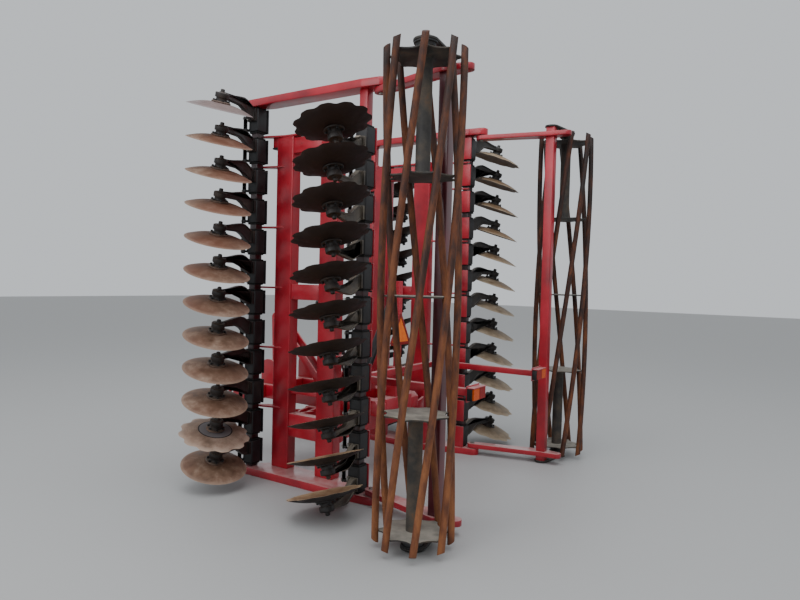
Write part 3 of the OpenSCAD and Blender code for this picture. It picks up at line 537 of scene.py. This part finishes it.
def makeZincSteel():
    # zinc-plated turned steel: dull silver with faint yellow and dust, in patches of 33 mm
    material, tree = newMaterial("zincPlatedSteel")
    haze = addNode(tree, "ShaderNodeTexNoise", {
        "Vector": objectCoordinates(tree), "Scale": scaleOf(33.33), "Detail": 5.0})
    colour = addNode(tree, "ShaderNodeValToRGB", {"Fac": haze.outputs["Fac"]},
                     [(0.30, "#6f6d68"), (0.60, "#9c9a94"), (0.80, "#7c6a55")])
    rough = addNode(tree, "ShaderNodeMapRange", {
        "Value": haze.outputs["Fac"], "From Min": 0.3, "From Max": 0.7, "To Min": 0.28, "To Max": 0.5})
    closeMaterial(tree, {"Base Color": colour.outputs["Color"], "Metallic": 0.9,
                         "Roughness": rough.outputs["Result"]})
    return material


def makeLens(name, tones):
    # moulded acrylic lamp lens: deep clear colour with a hard shine, clouded over about 17 mm
    material, tree = newMaterial(name)
    cloud = addNode(tree, "ShaderNodeTexNoise", {
        "Vector": objectCoordinates(tree), "Scale": scaleOf(16.67), "Detail": 3.0})
    colour = addNode(tree, "ShaderNodeMix", {
        0: cloud.outputs["Fac"], 6: linear(tones[0]), 7: linear(tones[1])}, data_type="RGBA")
    closeMaterial(tree, {"Base Color": colour.outputs[2], "Roughness": 0.18, "IOR": 1.49,
                         "Coat Weight": 0.5, "Coat Roughness": 0.08})
    return material


def makeSignFoil(name, tones):
    # reflective foil on sheet: flat even colour, scuffed over about 25 mm, under a clear face;
    # its beads are finer than a hair and are drawn at 2.5 mm so that they show
    material, tree = newMaterial(name)
    where = objectCoordinates(tree)
    scuff = addNode(tree, "ShaderNodeTexNoise", {"Vector": where, "Scale": scaleOf(25), "Detail": 5.0})
    colour = addNode(tree, "ShaderNodeValToRGB", {"Fac": scuff.outputs["Fac"]}, zip((0.35, 0.65), tones))
    bead = addNode(tree, "ShaderNodeTexVoronoi", {"Vector": where, "Scale": scaleOf(2.5)})
    bump = addNode(tree, "ShaderNodeBump", {
        "Strength": 0.06, "Distance": 0.5 * mm, "Height": bead.outputs["Distance"]})
    closeMaterial(tree, {"Base Color": colour.outputs["Color"], "Roughness": 0.35,
                         "Normal": bump.outputs["Normal"]})
    return material


def makeRubber():
    # moulded natural rubber: dead black, dull, greyed by dust in patches of 40 mm, grain of 3 mm
    material, tree = newMaterial("mouldedRubber")
    where = objectCoordinates(tree)
    cloud = addNode(tree, "ShaderNodeTexNoise", {"Vector": where, "Scale": scaleOf(40), "Detail": 5.0})
    colour = addNode(tree, "ShaderNodeValToRGB", {"Fac": cloud.outputs["Fac"]},
                     [(0.35, "#0c0c0c"), (0.60, "#161514"), (0.80, "#2a2623")])
    grain = addNode(tree, "ShaderNodeTexNoise", {"Vector": where, "Scale": scaleOf(3.333), "Detail": 2.0})
    bump = addNode(tree, "ShaderNodeBump", {
        "Strength": 0.2, "Distance": 1 * mm, "Height": grain.outputs["Fac"]})
    closeMaterial(tree, {"Base Color": colour.outputs["Color"], "Roughness": 0.85,
                         "Normal": bump.outputs["Normal"]})
    return material


redPaint = makeRedPaint("redEnamelPaint", ("#800a1e", "#ac1025", "#c02338"), "#c9aaa6")
darkerRedPaint = makeRedPaint("darkerRedEnamel", ("#360d14", "#561520", "#75222e"), "#7b5550")
# painted shade: the red of the disc beams between the clamps is drawn nearly black
gapShadePaint = makeRedPaint("gapShadeRedEnamel", ("#1c060b", "#2e0a12", "#430f1a"), "#5b3f3f")
blackPaint = makeBlackCastings("blackDipPaint", ("#121214", "#1f1f21", "#332d2a", "#4c3e35"), "#3d3935")
brownPaint = makeBlackCastings("brownedDipPaint", ("#181413", "#28211e", "#40342d", "#5a483c"), "#7d6c60")
soilPaint = makeBlackCastings("soiledDipPaint", ("#33261f", "#553f32", "#6f5647", "#85705f"), "#8a7160")
# pale grey-brown over black: dust, and painted sky reflection on the satin paint
dustAndSheenPaint = makeBlackCastings("dustAndSheenDipPaint", ("#35312c", "#5e564b", "#766d5f", "#877d6d"), "#8d8474")
dullPaint = makeBlackCastings("dulledDipPaint", ("#1a1918", "#2a2724", "#3e3832", "#544a3f"), "#716a63")
rustyBar = makeRustyBars()
primedSteel = makeRollerCore()
zincSteel = makeZincSteel()
redLens = makeLens("redAcrylicLens", ("#a8120c", "#6d0806"))
amberLens = makeLens("amberAcrylicLens", ("#e0600c", "#b03c06"))
orangeFoil = makeSignFoil("orangeSignFoil", ("#f26a12", "#ff8424"))
redFoil = makeSignFoil("redSignFoil", ("#7c0d0c", "#9a1612"))
collarRubber = makeRubber()

slotFinish = {
    "red_paint": redPaint,
    "black_parts": blackPaint,
    "disc_steel": primedSteel,    # hidden: dished discs replace these nodes
    "rusty_bars": rustyBar,
    "roller_core": primedSteel,
    "bright_steel": zincSteel,
    "lamp_lens": redLens,
    "sign_face": orangeFoil,
}

print("stage: frame nodes")
slotOf = {part["node"]: part["material_slot"] for part in frame["record"]["subparts"]}
for node, cadPiece in frame["nodes"].items():
    coat(cadPiece, slotFinish[slotOf[node]])


def finishPiece(piece, body):
    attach(piece, body)


# edge radii in mm of the welded, forged and turned nodes
edgePlan = {
    "wing_frame": 5, "rungs": 5, "end_beams": 4, "link_plates": 1.5, "hinge_lugs": 2,
    "back_plates": 2, "centre_frame": 5, "long_tubes": 6, "centre_lugs": 2, "cylinder_tower": 2,
    "headstock": 2, "lamp_arms": 1.5, "roller_frame": 2, "clamps": 3, "arms": 2.5,
    "roller_core": 1.5, "roller_bearings": 2, "cylinder_barrel": 2, "cylinder_rod": 1,
    "hinge_pins": 2, "cylinder_pins": 2, "pivot_pins": 2,
}
roundingPlan = {
    "merge": 0.02,         # mm between two vertices that are one
    "flat": 0.6,           # degrees between two faces that are one
    "sharp": 38,           # degrees from which an edge is rounded
    "smooth": 36,
}


def nodesOf(kind):
    # the centre has one node of a kind, and others have one for each side or row
    names = [kind] + [kind + "_" + end for end in (*sides, *rows)]
    return [name for name in names if name in frame["nodes"]]


def roundedNode(node, radius):
    # a copy of a frame node with its edges rounded, which stands for it
    plan = roundingPlan
    source = frame["nodes"][node]
    piece = source.copy()
    piece.data = source.data.copy()
    piece.parent = None
    scene.collection.objects.link(piece)
    piece.name = node + "_rounded"
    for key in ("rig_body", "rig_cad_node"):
        del piece[key]
    editAll(piece)
    bpy.ops.mesh.remove_doubles(threshold=plan["merge"] * mm)
    bpy.ops.mesh.dissolve_limited(angle_limit=math.radians(plan["flat"]))
    objectMode()
    if piece.data.has_custom_normals:
        bpy.ops.mesh.customdata_custom_splitnormals_clear()
    bevelEdges(piece, radius, 2, plan["sharp"], use_clamp_overlap=False, miter_outer="MITER_ARC")
    smooth(piece, plan["smooth"])
    finishPiece(piece, bodyOf(node))
    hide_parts(node)
    return piece


def repaint(piece, finish, wanted):
    # another finish on the faces whose middle, in mm, passes the test
    piece.data.materials.append(finish)
    last = len(piece.data.materials) - 1
    for face in piece.data.polygons:
        if wanted(face.center / mm):
            face.material_index = last


# the arms are drawn lighter than plain black: soil dust, and painted sky reflection on their satin paint;
# those behind most, the front right ones still black
armFinish = {"arms_rear_left": dustAndSheenPaint, "arms_rear_right": dullPaint, "arms_front_left": brownPaint}
# where other finishes begin and end, half a millimetre or more outside the faces they cover
hubPlan = {
    "rise": 90,            # middle of the hub above its disc
    "reach": 72,
    "flangeTop": 62,
    "neck": 44,            # the flange shows outside this radius
}
repaintPlan = {
    "beamHalf": 52,
    "clampHalf": 98,       # a clamp with its rubber collars, along the beam
    "bearingPlate": 15.5,  # from each end of a roller frame
    "tubeX": -990,         # the square tube of the left roller frame
    "tubeY": -1108.5,
    "tubeHalf": 54,
    "tubeFrom": 150,
    "tubeTo": 2950,
}


def paintHubs(piece, row, finish, flangeOnly):
    # the hubs of a row, or their flanges alone
    plan = hubPlan
    places = list(discPlaces(row))
    toDiscs = [place.inverted() for place in places]
    heights = [place.translation.z / mm + plan["rise"] * rows[row]["hub"] for place in places]

    def onHub(spot):
        near = min(range(len(places)), key=lambda i: abs(heights[i] - spot.z))
        local = toDiscs[near] @ (spot * mm) / mm
        far = math.hypot(local.x, local.y)
        onFlange = local.z < plan["flangeTop"] and far > plan["neck"]
        return far < plan["reach"] and (onFlange or not flangeOnly)

    repaint(piece, finish, onHub)


def shadeDiscBeams(piece, side):
    # painted shade on the disc beams: nearly black from the first clamp to the last one, where only the
    # gaps between the clamps show, and plain red above it
    tops = {}
    for plan in rows.values():
        if plan["side"] == side:
            lastClamp = plan["firstClamp"] + (plan["count"] - 1) * unit["pitch"]
            tops[plan["beamY"]] = lastClamp + repaintPlan["clampHalf"]
    for top in tops.values():
        editAll(piece)
        bpy.ops.mesh.bisect(plane_co=(0, 0, top * mm), plane_no=(0, 0, 1))
        objectMode()

    def onBeam(spot):
        offX = abs(abs(spot.x) - unit["beamX"])
        return any(max(offX, abs(spot.y + middleY / mm - beamY)) < repaintPlan["beamHalf"] and spot.z < top
                   for beamY, top in tops.items())

    repaint(piece, gapShadePaint, onBeam)


def dullPlates(piece, node):
    # the outermost plates carry the bearings and are dipped, not sprayed
    low, high = (corner.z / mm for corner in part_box(node))
    thick = repaintPlan["bearingPlate"]
    repaint(piece, dullPaint, lambda spot: spot.z < low + thick or spot.z > high - thick)


def darkenTube(piece):
    # the square tube behind the left roller is given a darker red
    plan = repaintPlan
    repaint(piece, darkerRedPaint, lambda spot: (
        max(abs(spot.x - plan["tubeX"]), abs(spot.y - plan["tubeY"])) < plan["tubeHalf"]
        and plan["tubeFrom"] < spot.z < plan["tubeTo"]))


for kind, radius in edgePlan.items():
    for node in nodesOf(kind):
        piece = roundedNode(node, radius)
        if node in armFinish:
            coat(piece, armFinish[node])
        if node == "arms_rear_left":
            paintHubs(piece, "rear_left", brownPaint, False)
        if node == "arms_front_left":
            paintHubs(piece, "front_left", soilPaint, True)
        if node == "back_plates_left":
            # the plates of the front row were dipped with their clamps
            repaint(piece, blackPaint, lambda spot: spot.y > 0)
        if kind == "wing_frame":
            shadeDiscBeams(piece, sides[node.split("_")[-1]])
        if kind == "roller_frame":
            dullPlates(piece, node)
        if node == "roller_frame_left":
            darkenTube(piece)

print("stage: discs")
discKinds = {
    "plain": {"radius": 250, "notch": 0},
    "notched": {"radius": 268, "notch": 23},
}
# finish of the hub's side and of the hollow side: name, tones of the soil from dark to pale, tone of the
# rust, share of bare metal, and the tones of a new disc's middle. On each row the side that faces down is
# given darker tones than the side that faces up, painted shade over its soil and oxide
discRows = {
    "front_left": ("plain", (
        ("drySoilSteel", ("#5d4536", "#826552", "#a58d7b"), "#6e3d2a", 0.2),
        ("brownSoilSteel", ("#3a2620", "#573d33", "#745a50"), "#55291c", 0.2))),
    "rear_left": ("notched", (
        ("darkOxideSteel", ("#150e0d", "#221817", "#382923"), "#2c1812", 0.25),
        ("goldenRustSteel", ("#7d6448", "#ae9170", "#cab08e"), "#99683f", 0.2))),
    "front_right": ("plain", (
        ("darkOxideSteelRight", ("#1d1613", "#2e231e", "#45362d"), "#3a2417", 0.25),
        ("brownSoilSteelRight", ("#4e3b30", "#6d5647", "#8a7364"), "#6b432b", 0.2))),
    "rear_right": ("notched", (
        ("greySoilSteel", ("#6a5b48", "#918069", "#b0a08a"), "#86623f", 0.3),
        ("greySoilSteelUnder", ("#41372a", "#5f5140", "#7b6b57"), "#5c3f28", 0.25))),
}
# two of the front left row, counted from 0 at the inner end: a new one with its mill finish, and
# the outermost one, washed by rain
oddDiscs = {
    1: ("notched", (
        ("millFinishSteel", ("#755f50", "#957c6b", "#b39d8d"), "#84604b", 0.45, ("#77767b", "#2c2828")),
        ("millFinishSteelUnder", ("#4a3b32", "#6a5548", "#84705f"), "#6b432b", 0.3))),
    11: ("plain", (
        ("rainWashedSteel", ("#5f5657", "#7d7474", "#978e8e"), "#6b5149", 0.35),
        ("rainWashedSteelUnder", ("#6a6162", "#8b8283", "#a59c9c"), "#6f5650", 0.35))),
}
discPlan = {
    "flat": 75,            # radius of the flat middle
    "inset": 0.55,         # its inner ring of faces, as a share of it
    "depth": 48,
    "thick": 6,
    "bow": 1.6,            # how late the dish turns down
    "rings": 7,
    "notches": 11,
    "spokes": 176,         # vertices round, a whole number for each notch
    "notchWide": 60,       # half of a notch's width at the rim
    "notchZone": 45,       # the notches draw in the faces this far from the rim
    "rimThick": 0.6,       # the soil has ground the rim to this
    "rimBack": 3,          # and the rim of its hollow side back by this
    "turn": 37,            # degrees from one disc of a row to the next
    "firstTurn": 11,
}


def fromAxis(v):
    return math.hypot(v.co.x, v.co.y)


def drawIn(v, share):
    # towards the axis, to this share of its distance
    v.co.x *= share
    v.co.y *= share


def notchCut(angle, radius, notch):
    # distance from the axis to the rim at this angle, with wide shallow notches
    span = math.tau / discPlan["notches"]
    across = abs((angle + span / 2) % span - span / 2) * radius
    wide = discPlan["notchWide"]
    if across >= wide:
        return radius
    # a cosine dip runs out smoothly into the lobes
    return radius - notch * (0.5 + 0.5 * math.cos(math.pi * across / wide))


def dishDisc(disc, radius):
    # rings of faces from the flat middle outwards, each one steeper than the last
    plan = discPlan
    flat = plan["flat"]
    for ring in range(1, plan["rings"] + 1):
        share, shareBefore = ring / plan["rings"], (ring - 1) / plan["rings"]
        before = flat + (radius - flat) * shareBefore
        after = flat + (radius - flat) * share
        fall = plan["depth"] * (shareBefore ** plan["bow"] - share ** plan["bow"])
        clearSelected(disc)
        for v in disc.data.vertices:
            v.select = abs(fromAxis(v) - before * mm) < 0.5 * mm
        for e in disc.data.edges:
            e.select = all(disc.data.vertices[i].select for i in e.vertices)
        pick(disc)
        bpy.ops.object.mode_set(mode="EDIT")
        bpy.ops.mesh.select_mode(type="EDGE")
        extrudeUp(fall * mm)
        bpy.ops.transform.resize(value=(after / before, after / before, 1))
        objectMode()


def notchRim(disc, radius, notch):
    edge = (radius - discPlan["notchZone"]) * mm
    for v in disc.data.vertices:
        far = fromAxis(v)
        if far > edge:
            cut = notchCut(math.atan2(v.co.y, v.co.x), radius, notch) * mm
            drawIn(v, (edge + (far - edge) * (cut - edge) / (radius * mm - edge)) / far)


def grindRim(disc):
    level = -discPlan["rimThick"] * mm
    for v in disc.data.vertices:
        if v.co.z < level:
            v.co.z = level
            drawIn(v, 1 - discPlan["rimBack"] * mm / fromAxis(v))


def mapDisc(disc):
    # the disc's own map: its radius in metres, and the turn round its axis
    layers = disc.data.uv_layers
    while layers:
        layers.remove(layers[0])
    discMap = layers.new(name="discMap")
    for loop in disc.data.loops:
        v = disc.data.vertices[loop.vertex_index]
        discMap.data[loop.index].uv = (fromAxis(v), math.atan2(v.co.y, v.co.x) / math.tau + 0.5)


def makeDisc(kind, finish):
    plan = discPlan
    radius, notch = (discKinds[kind][key] for key in ("radius", "notch"))
    bpy.ops.mesh.primitive_circle_add(vertices=plan["spokes"], radius=plan["flat"] * mm,
                                      fill_type="NGON", location=(0, 0, plan["depth"] * mm))
    disc = bpy.context.object
    applyPlace(disc)
    editAll(disc)
    bpy.ops.mesh.inset(thickness=plan["flat"] * plan["inset"] * mm)
    objectMode()
    dishDisc(disc, radius)
    notchRim(disc, radius, notch)
    applyModifier(disc, "SOLIDIFY", thickness=plan["thick"] * mm, offset=-1)
    faceOutward(disc)
    grindRim(disc)
    mapDisc(disc)
    coat(disc, *(makeDiscSteel(*spec) for spec in finish))
    # faces on the hub's side take the first finish and the others the second; on each row and on the new
    # disc the one that faces down is darker, painted shade
    for face in disc.data.polygons:
        face.material_index = 0 if face.normal.z > 0 else 1
    smooth(disc, 30)
    return disc


def makeDiscRow(row):
    node = "discs_" + row
    usual = makeDisc(*discRows[row])
    odd = {i: makeDisc(*spec) for i, spec in oddDiscs.items()} if row == "front_left" else {}
    pieces = []
    for i, place in enumerate(discPlaces(row)):
        # each disc has stopped at its own angle
        turn = Matrix.Rotation(math.radians(discPlan["turn"] * i + discPlan["firstTurn"]), 4, "Z")
        pieces.append(placedCopy(odd.get(i, usual), place @ turn))
    whole = joined(pieces, node + "_dished")
    for model in (usual, *odd.values()):
        drop(model)
    finishPiece(whole, bodyOf(node))
    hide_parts(node)


for row in rows:
    makeDiscRow(row)

print("stage: roller bars")
barPlan = {
    "circle": 234,         # distance of the bars from the axis
    "radius": 22.2,
    "count": 8,
    "twist": 90,
    "phase": 31,
    "slant": 26,           # the ends are cut on a slant that faces out
    "sides": 20,
    "steps": 28,
    "bevel": 1.5,
}


def makeBars(name):
    plan = barPlan
    node = "roller_bars_" + name
    low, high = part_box(node)
    axis = (low + high) / 2
    length = high.z - low.z
    bpy.ops.mesh.primitive_circle_add(vertices=plan["sides"], radius=plan["radius"] * mm,
                                      fill_type="NGON", location=(plan["circle"] * mm, 0, 0))
    bar = bpy.context.object
    applyPlace(bar)
    editAll(bar)
    for step in range(plan["steps"]):
        extrudeUp(length / plan["steps"])
    slope = plan["slant"] / (2 * plan["radius"])
    inner = (plan["circle"] - plan["radius"]) * mm
    for height, way in ((0, -1), (length, 1)):
        bpy.ops.mesh.select_all(action="SELECT")
        bpy.ops.mesh.bisect(plane_co=(inner, 0, height), plane_no=(slope, 0, way), use_fill=True,
                            clear_outer=True, clear_inner=False)
    faceOutward(bar)
    for v in bar.data.vertices:
        turn = Matrix.Rotation(math.radians(plan["twist"]) * v.co.z / length, 3, "Z")
        v.co = turn @ v.co
    bevelEdges(bar, plan["bevel"], 2, 45)
    smooth(bar, 40)
    coat(bar, rustyBar)
    pieces = []
    for i in range(plan["count"]):
        turn = Matrix.Rotation(math.radians(plan["phase"] + i * 360 / plan["count"]), 4, "Z")
        pieces.append(placedCopy(bar, Matrix.Translation((axis.x, axis.y, low.z)) @ turn))
    whole = joined(pieces, node + "_round")
    drop(bar)
    finishPiece(whole, bodyOf(node))
    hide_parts(node)


for name in sides:
    makeBars(name)

print("stage: bolts and collars")
# bolt circles start at a share of a step; spots are counted from the clamp's middle
boltPlan = {
    "hub": {"across": 16, "high": 9, "circle": 57.5, "count": 6, "start": 0, "level": 60.3},
    "strap": {"across": 24, "high": 13, "spots": ((65, 82, -79), (65, 82, 19))},
    "foot": {"across": 19, "high": 11, "spots": ((72.3, 32, 2), (72.3, 32, 69))},
    "plate": {"across": 19, "high": 9, "circle": 58, "count": 4, "start": 0.5, "level": 0},
}
# the washer's radius and the turned corners are shares of the head's width
washerPlan = {"thick": 2.2, "sunk": 0.2, "radius": 0.62, "sides": 18}
cornerPlan = {"inset": 0.09, "rise": 0.05}


def makeBolt(kind, finish):
    # hexagon head on a washer, its corners turned off, standing up from z = 0
    across, high = (boltPlan[kind][key] for key in ("across", "high"))
    thick = washerPlan["thick"]
    bpy.ops.mesh.primitive_cylinder_add(vertices=6, radius=across / math.sqrt(3) * mm, depth=high * mm,
                                        location=(0, 0, (high / 2 + thick - washerPlan["sunk"]) * mm))
    head = bpy.context.object
    applyPlace(head)
    clearSelected(head)
    for face in head.data.polygons:
        face.select = face.normal.z > 0.9     # the top
    bpy.ops.object.mode_set(mode="EDIT")
    bpy.ops.mesh.inset(thickness=cornerPlan["inset"] * across * mm)
    bpy.ops.transform.translate(value=(0, 0, cornerPlan["rise"] * across * mm))
    objectMode()
    bpy.ops.mesh.primitive_cylinder_add(vertices=washerPlan["sides"], depth=thick * mm,
                                        radius=washerPlan["radius"] * across * mm,
                                        location=(0, 0, thick / 2 * mm))
    washer = bpy.context.object
    applyPlace(washer)
    bolt = joined([head, washer], kind + "Bolt")
    smooth(bolt, 25)
    coat(bolt, finish)
    return bolt


def scatter(model, places, name, node):
    whole = joined([placedCopy(model, place) for place in places], name)
    drop(model)
    finishPiece(whole, bodyOf(node))


def boltCircle(kind):
    # the places of the bolts round a hub or bearing
    plan = boltPlan[kind]
    for k in range(plan["count"]):
        turn = Matrix.Rotation(math.tau * (k + plan["start"]) / plan["count"], 4, "Z")
        yield turn @ Matrix.Translation((plan["circle"] * mm, 0, plan["level"] * mm))


def boltRow(row):
    places = [place @ bolt for place in discPlaces(row) for bolt in boltCircle("hub")]
    scatter(makeBolt("hub", blackPaint), places, "hub_bolts_" + row, "arms_" + row)
    for kind, turn, axis in (("strap", -90, "X"), ("foot", 90, "Y")):
        outward = Matrix.Rotation(math.radians(turn), 4, axis)
        places = [place @ Matrix.Translation(Vector(spot) * mm) @ outward
                  for place in clampPlaces(row) for spot in boltPlan[kind]["spots"]]
        scatter(makeBolt(kind, zincSteel), places, kind + "_bolts_" + row, "clamps_" + row)


collarPlan = {"outside": 94, "inside": 72.8, "thick": 17, "from": 90, "bevel": 4}


def makeCollar():
    # one square ring of rubber with rounded edges
    plan = collarPlan
    bpy.ops.mesh.primitive_plane_add(size=plan["outside"] * mm)
    collar = bpy.context.object
    editAll(collar)
    bpy.ops.mesh.inset(thickness=(plan["outside"] - plan["inside"]) / 2 * mm)
    bpy.ops.mesh.delete(type="FACE")
    bpy.ops.mesh.select_all(action="SELECT")
    extrudeUp(plan["thick"] * mm)
    faceOutward(collar)
    bevelEdges(collar, plan["bevel"], 3, 40)
    smooth(collar, 50)
    coat(collar, collarRubber)
    return collar


def collarRow(row):
    lift = Matrix.Translation((0, 0, collarPlan["from"] * mm))
    places = []
    for place in clampPlaces(row):
        places += [place @ lift, place @ Matrix.Diagonal((1, 1, -1, 1)) @ lift]
    scatter(makeCollar(), places, "collars_" + row, "clamps_" + row)


for row in rows:
    boltRow(row)
    collarRow(row)

bearingPlan = {
    "axisX": 1320, "axisY": -1138.5, "plateTop": 3092,
    "capRadius": 30, "capHigh": 12, "capRound": 4,
}


def coverBearing(name, side):
    # bolts of the top bearing and its domed cap, on the upper bearing plate
    plan = bearingPlan
    spot = Matrix.Translation(Vector((side * plan["axisX"], plan["axisY"], plan["plateTop"])) * mm)
    scatter(makeBolt("plate", zincSteel), [spot @ bolt for bolt in boltCircle("plate")],
            "bearing_bolts_" + name, "roller_frame_" + name)
    high = plan["capHigh"] * mm
    bpy.ops.mesh.primitive_cylinder_add(vertices=40, radius=plan["capRadius"] * mm, depth=high,
                                        location=(0, 0, high / 2))
    cap = bpy.context.object
    applyPlace(cap)
    bevelEdges(cap, plan["capRound"], 3, 40)
    smooth(cap, 40)
    coat(cap, blackPaint)
    scatter(cap, [spot], "bearing_cap_" + name, "roller_frame_" + name)


for name, side in sides.items():
    coverBearing(name, side)

print("stage: headstock cheeks and lugs")
cheekPlan = {"x": 260, "thick": 20, "back": 1402, "front": 1586, "foot": 635.4, "top": 868,
             "round": 82, "bevel": 2}
lugPlan = {"low": (690, 970.3, 2712), "high": (742, 1022, 2822), "base": 14, "lip": 4, "toe": 6,
           "bevel": 4}


def shapedPlate(low, high):
    # a plate between two corners of its own box, its rims still sharp
    middle = (Vector(low) + Vector(high)) / 2 * mm
    bpy.ops.mesh.primitive_cube_add(size=1, location=middle, scale=(Vector(high) - Vector(low)) * mm)
    plate = bpy.context.object
    applyPlace(plate)
    return plate


def finishPlate(plate, width, segments, finish):
    bevelEdges(plate, width, segments, 50)
    smooth(plate, 36)
    coat(plate, finish)


def roundTop(plate, top, radius):
    # rounds the two top edges that run across the machine
    pick(plate)
    clearSelected(plate)
    for e in plate.data.edges:
        a, b = (plate.data.vertices[i].co / mm for i in e.vertices)
        e.select = min(a.z, b.z) > top - 0.5 and abs(a.x - b.x) > 1
    bpy.ops.object.mode_set(mode="EDIT")
    bpy.ops.mesh.select_mode(type="EDGE")
    bpy.ops.mesh.bevel(offset=radius * mm, segments=10)
    objectMode()


def makeCheek(name, side):
    plan = cheekPlan
    x, half, shift = side * plan["x"], plan["thick"] / 2, middleY / mm
    plate = shapedPlate((x - half, plan["back"] - shift, plan["foot"]),
                        (x + half, plan["front"] - shift, plan["top"]))
    plate.name = "headstock_cheek_" + name
    roundTop(plate, plan["top"], plan["round"])
    finishPlate(plate, plan["bevel"], 2, redPaint)
    finishPiece(plate, bodyOf("headstock"))


def makeLug(name, side):
    # transport lug on the front face of the main tube, with a foot plate
    plan = lugPlan
    shift = Vector((0, middleY / mm, 0))
    low, high = Vector(plan["low"]) - shift, Vector(plan["high"]) - shift
    block = shapedPlate(low + Vector((0, 0, plan["base"])), high)
    foot = shapedPlate(low - Vector((plan["lip"], 0, 0)),
                       (high.x + plan["lip"], high.y + plan["toe"], low.z + plan["base"]))
    finishPlate(block, plan["bevel"], 3, redPaint)
    finishPlate(foot, plan["bevel"], 3, dullPaint)
    scatter(joined([block, foot], "lugModel"), [sideMirror(side)], "transport_lug_" + name,
            "wing_frame_" + name)


for name, side in sides.items():
    makeCheek(name, side)
for name, side in sides.items():
    makeLug(name, side)

print("stage: lamps and sign")
lampPlan = {
    "x": 615, "z": 870, "width": 196, "high": 90, "back": -1229.0, "front": -1175.2,
    "split": 3,            # half of the gap between the two lenses
    "wall": 5,             # the tray beside and above the lenses
    "lip": 6,
    "lensBack": 2.6,       # places forward of the back
    "lensFront": 30,
    "trayBack": 14,
    "capBack": 0.6,
    "capOver": 2,          # the cap plate over the tray's ends, up and down
    "capUp": 2.4,
    "capDown": 5,
    "ribs": 9,
    "ribHigh": 2.2,
    "bevel": 2,
}


def ribbedLens(start, end, finish):
    # every second line of the face stands proud: moulded ribs of about 5 mm
    plan = lampPlan
    half = plan["high"] / 2 - plan["lip"]
    lines = 2 * plan["ribs"]
    lens = shapedPlate((start, plan["back"] + plan["lensBack"], plan["z"] - half),
                       (end, plan["back"] + plan["lensFront"], plan["z"] + half))
    editAll(lens)
    for k in range(1, lines):
        bpy.ops.mesh.select_all(action="SELECT")
        at = start + (end - start) * k / lines
        bpy.ops.mesh.bisect(plane_co=(at * mm, 0, 0), plane_no=(1, 0, 0))
    objectMode()
    for v in lens.data.vertices:
        k = round((v.co.x / mm - start) / (end - start) * lines)
        if v.co.y < (plan["back"] + plan["lensFront"] / 2) * mm and k % 2 == 1:
            v.co.y -= plan["ribHigh"] * mm
    smooth(lens, 20)
    coat(lens, finish)
    return lens


def makeLamp(name, side):
    # two lenses, amber outside and red inside, in a tray with a cap plate
    plan = lampPlan
    middle, half, top = side * plan["x"], plan["width"] / 2, plan["z"] + plan["high"] / 2
    pieces = []
    for way, finish in ((side, amberLens), (-side, redLens)):
        start, end = sorted((middle + way * plan["split"], middle + way * (half - plan["wall"])))
        pieces.append(ribbedLens(start, end, finish))
    over = half + plan["capOver"]
    tray = shapedPlate((middle - half, plan["back"] + plan["trayBack"], top - plan["high"]),
                       (middle + half, plan["front"], top))
    cap = shapedPlate((middle - over, plan["back"] + plan["capBack"], top - plan["capDown"]),
                      (middle + over, plan["front"], top + plan["capUp"]))
    finishPlate(tray, plan["bevel"], 3, blackPaint)
    finishPlate(cap, plan["bevel"], 3, redPaint)
    return joined([*pieces, tray, cap], "lamp_" + name)


lamps = joined([makeLamp(name, side) for name, side in sides.items()], "rear_lamps_ribbed")
finishPiece(lamps, bodyOf("rear_lamps"))
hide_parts("rear_lamps")

signPlan = {"edge": 0.6, "border": 26}


def makeSign(plan):
    # an orange field inside a red border, both on the face that looks back
    sign = roundedNode("slow_sign", plan["edge"])
    coat(sign, redFoil, orangeFoil)
    pick(sign)
    clearSelected(sign)
    for face in sign.data.polygons:
        face.select = face.normal.y < -0.99 and face.area > 0.01
    bpy.ops.object.mode_set(mode="EDIT")
    bpy.ops.mesh.select_mode(type="FACE")
    bpy.ops.mesh.inset(thickness=plan["border"] * mm)
    objectMode()
    for face in sign.data.polygons:
        if face.select:
            face.material_index = 1


makeSign(signPlan)

print("stage: finish")
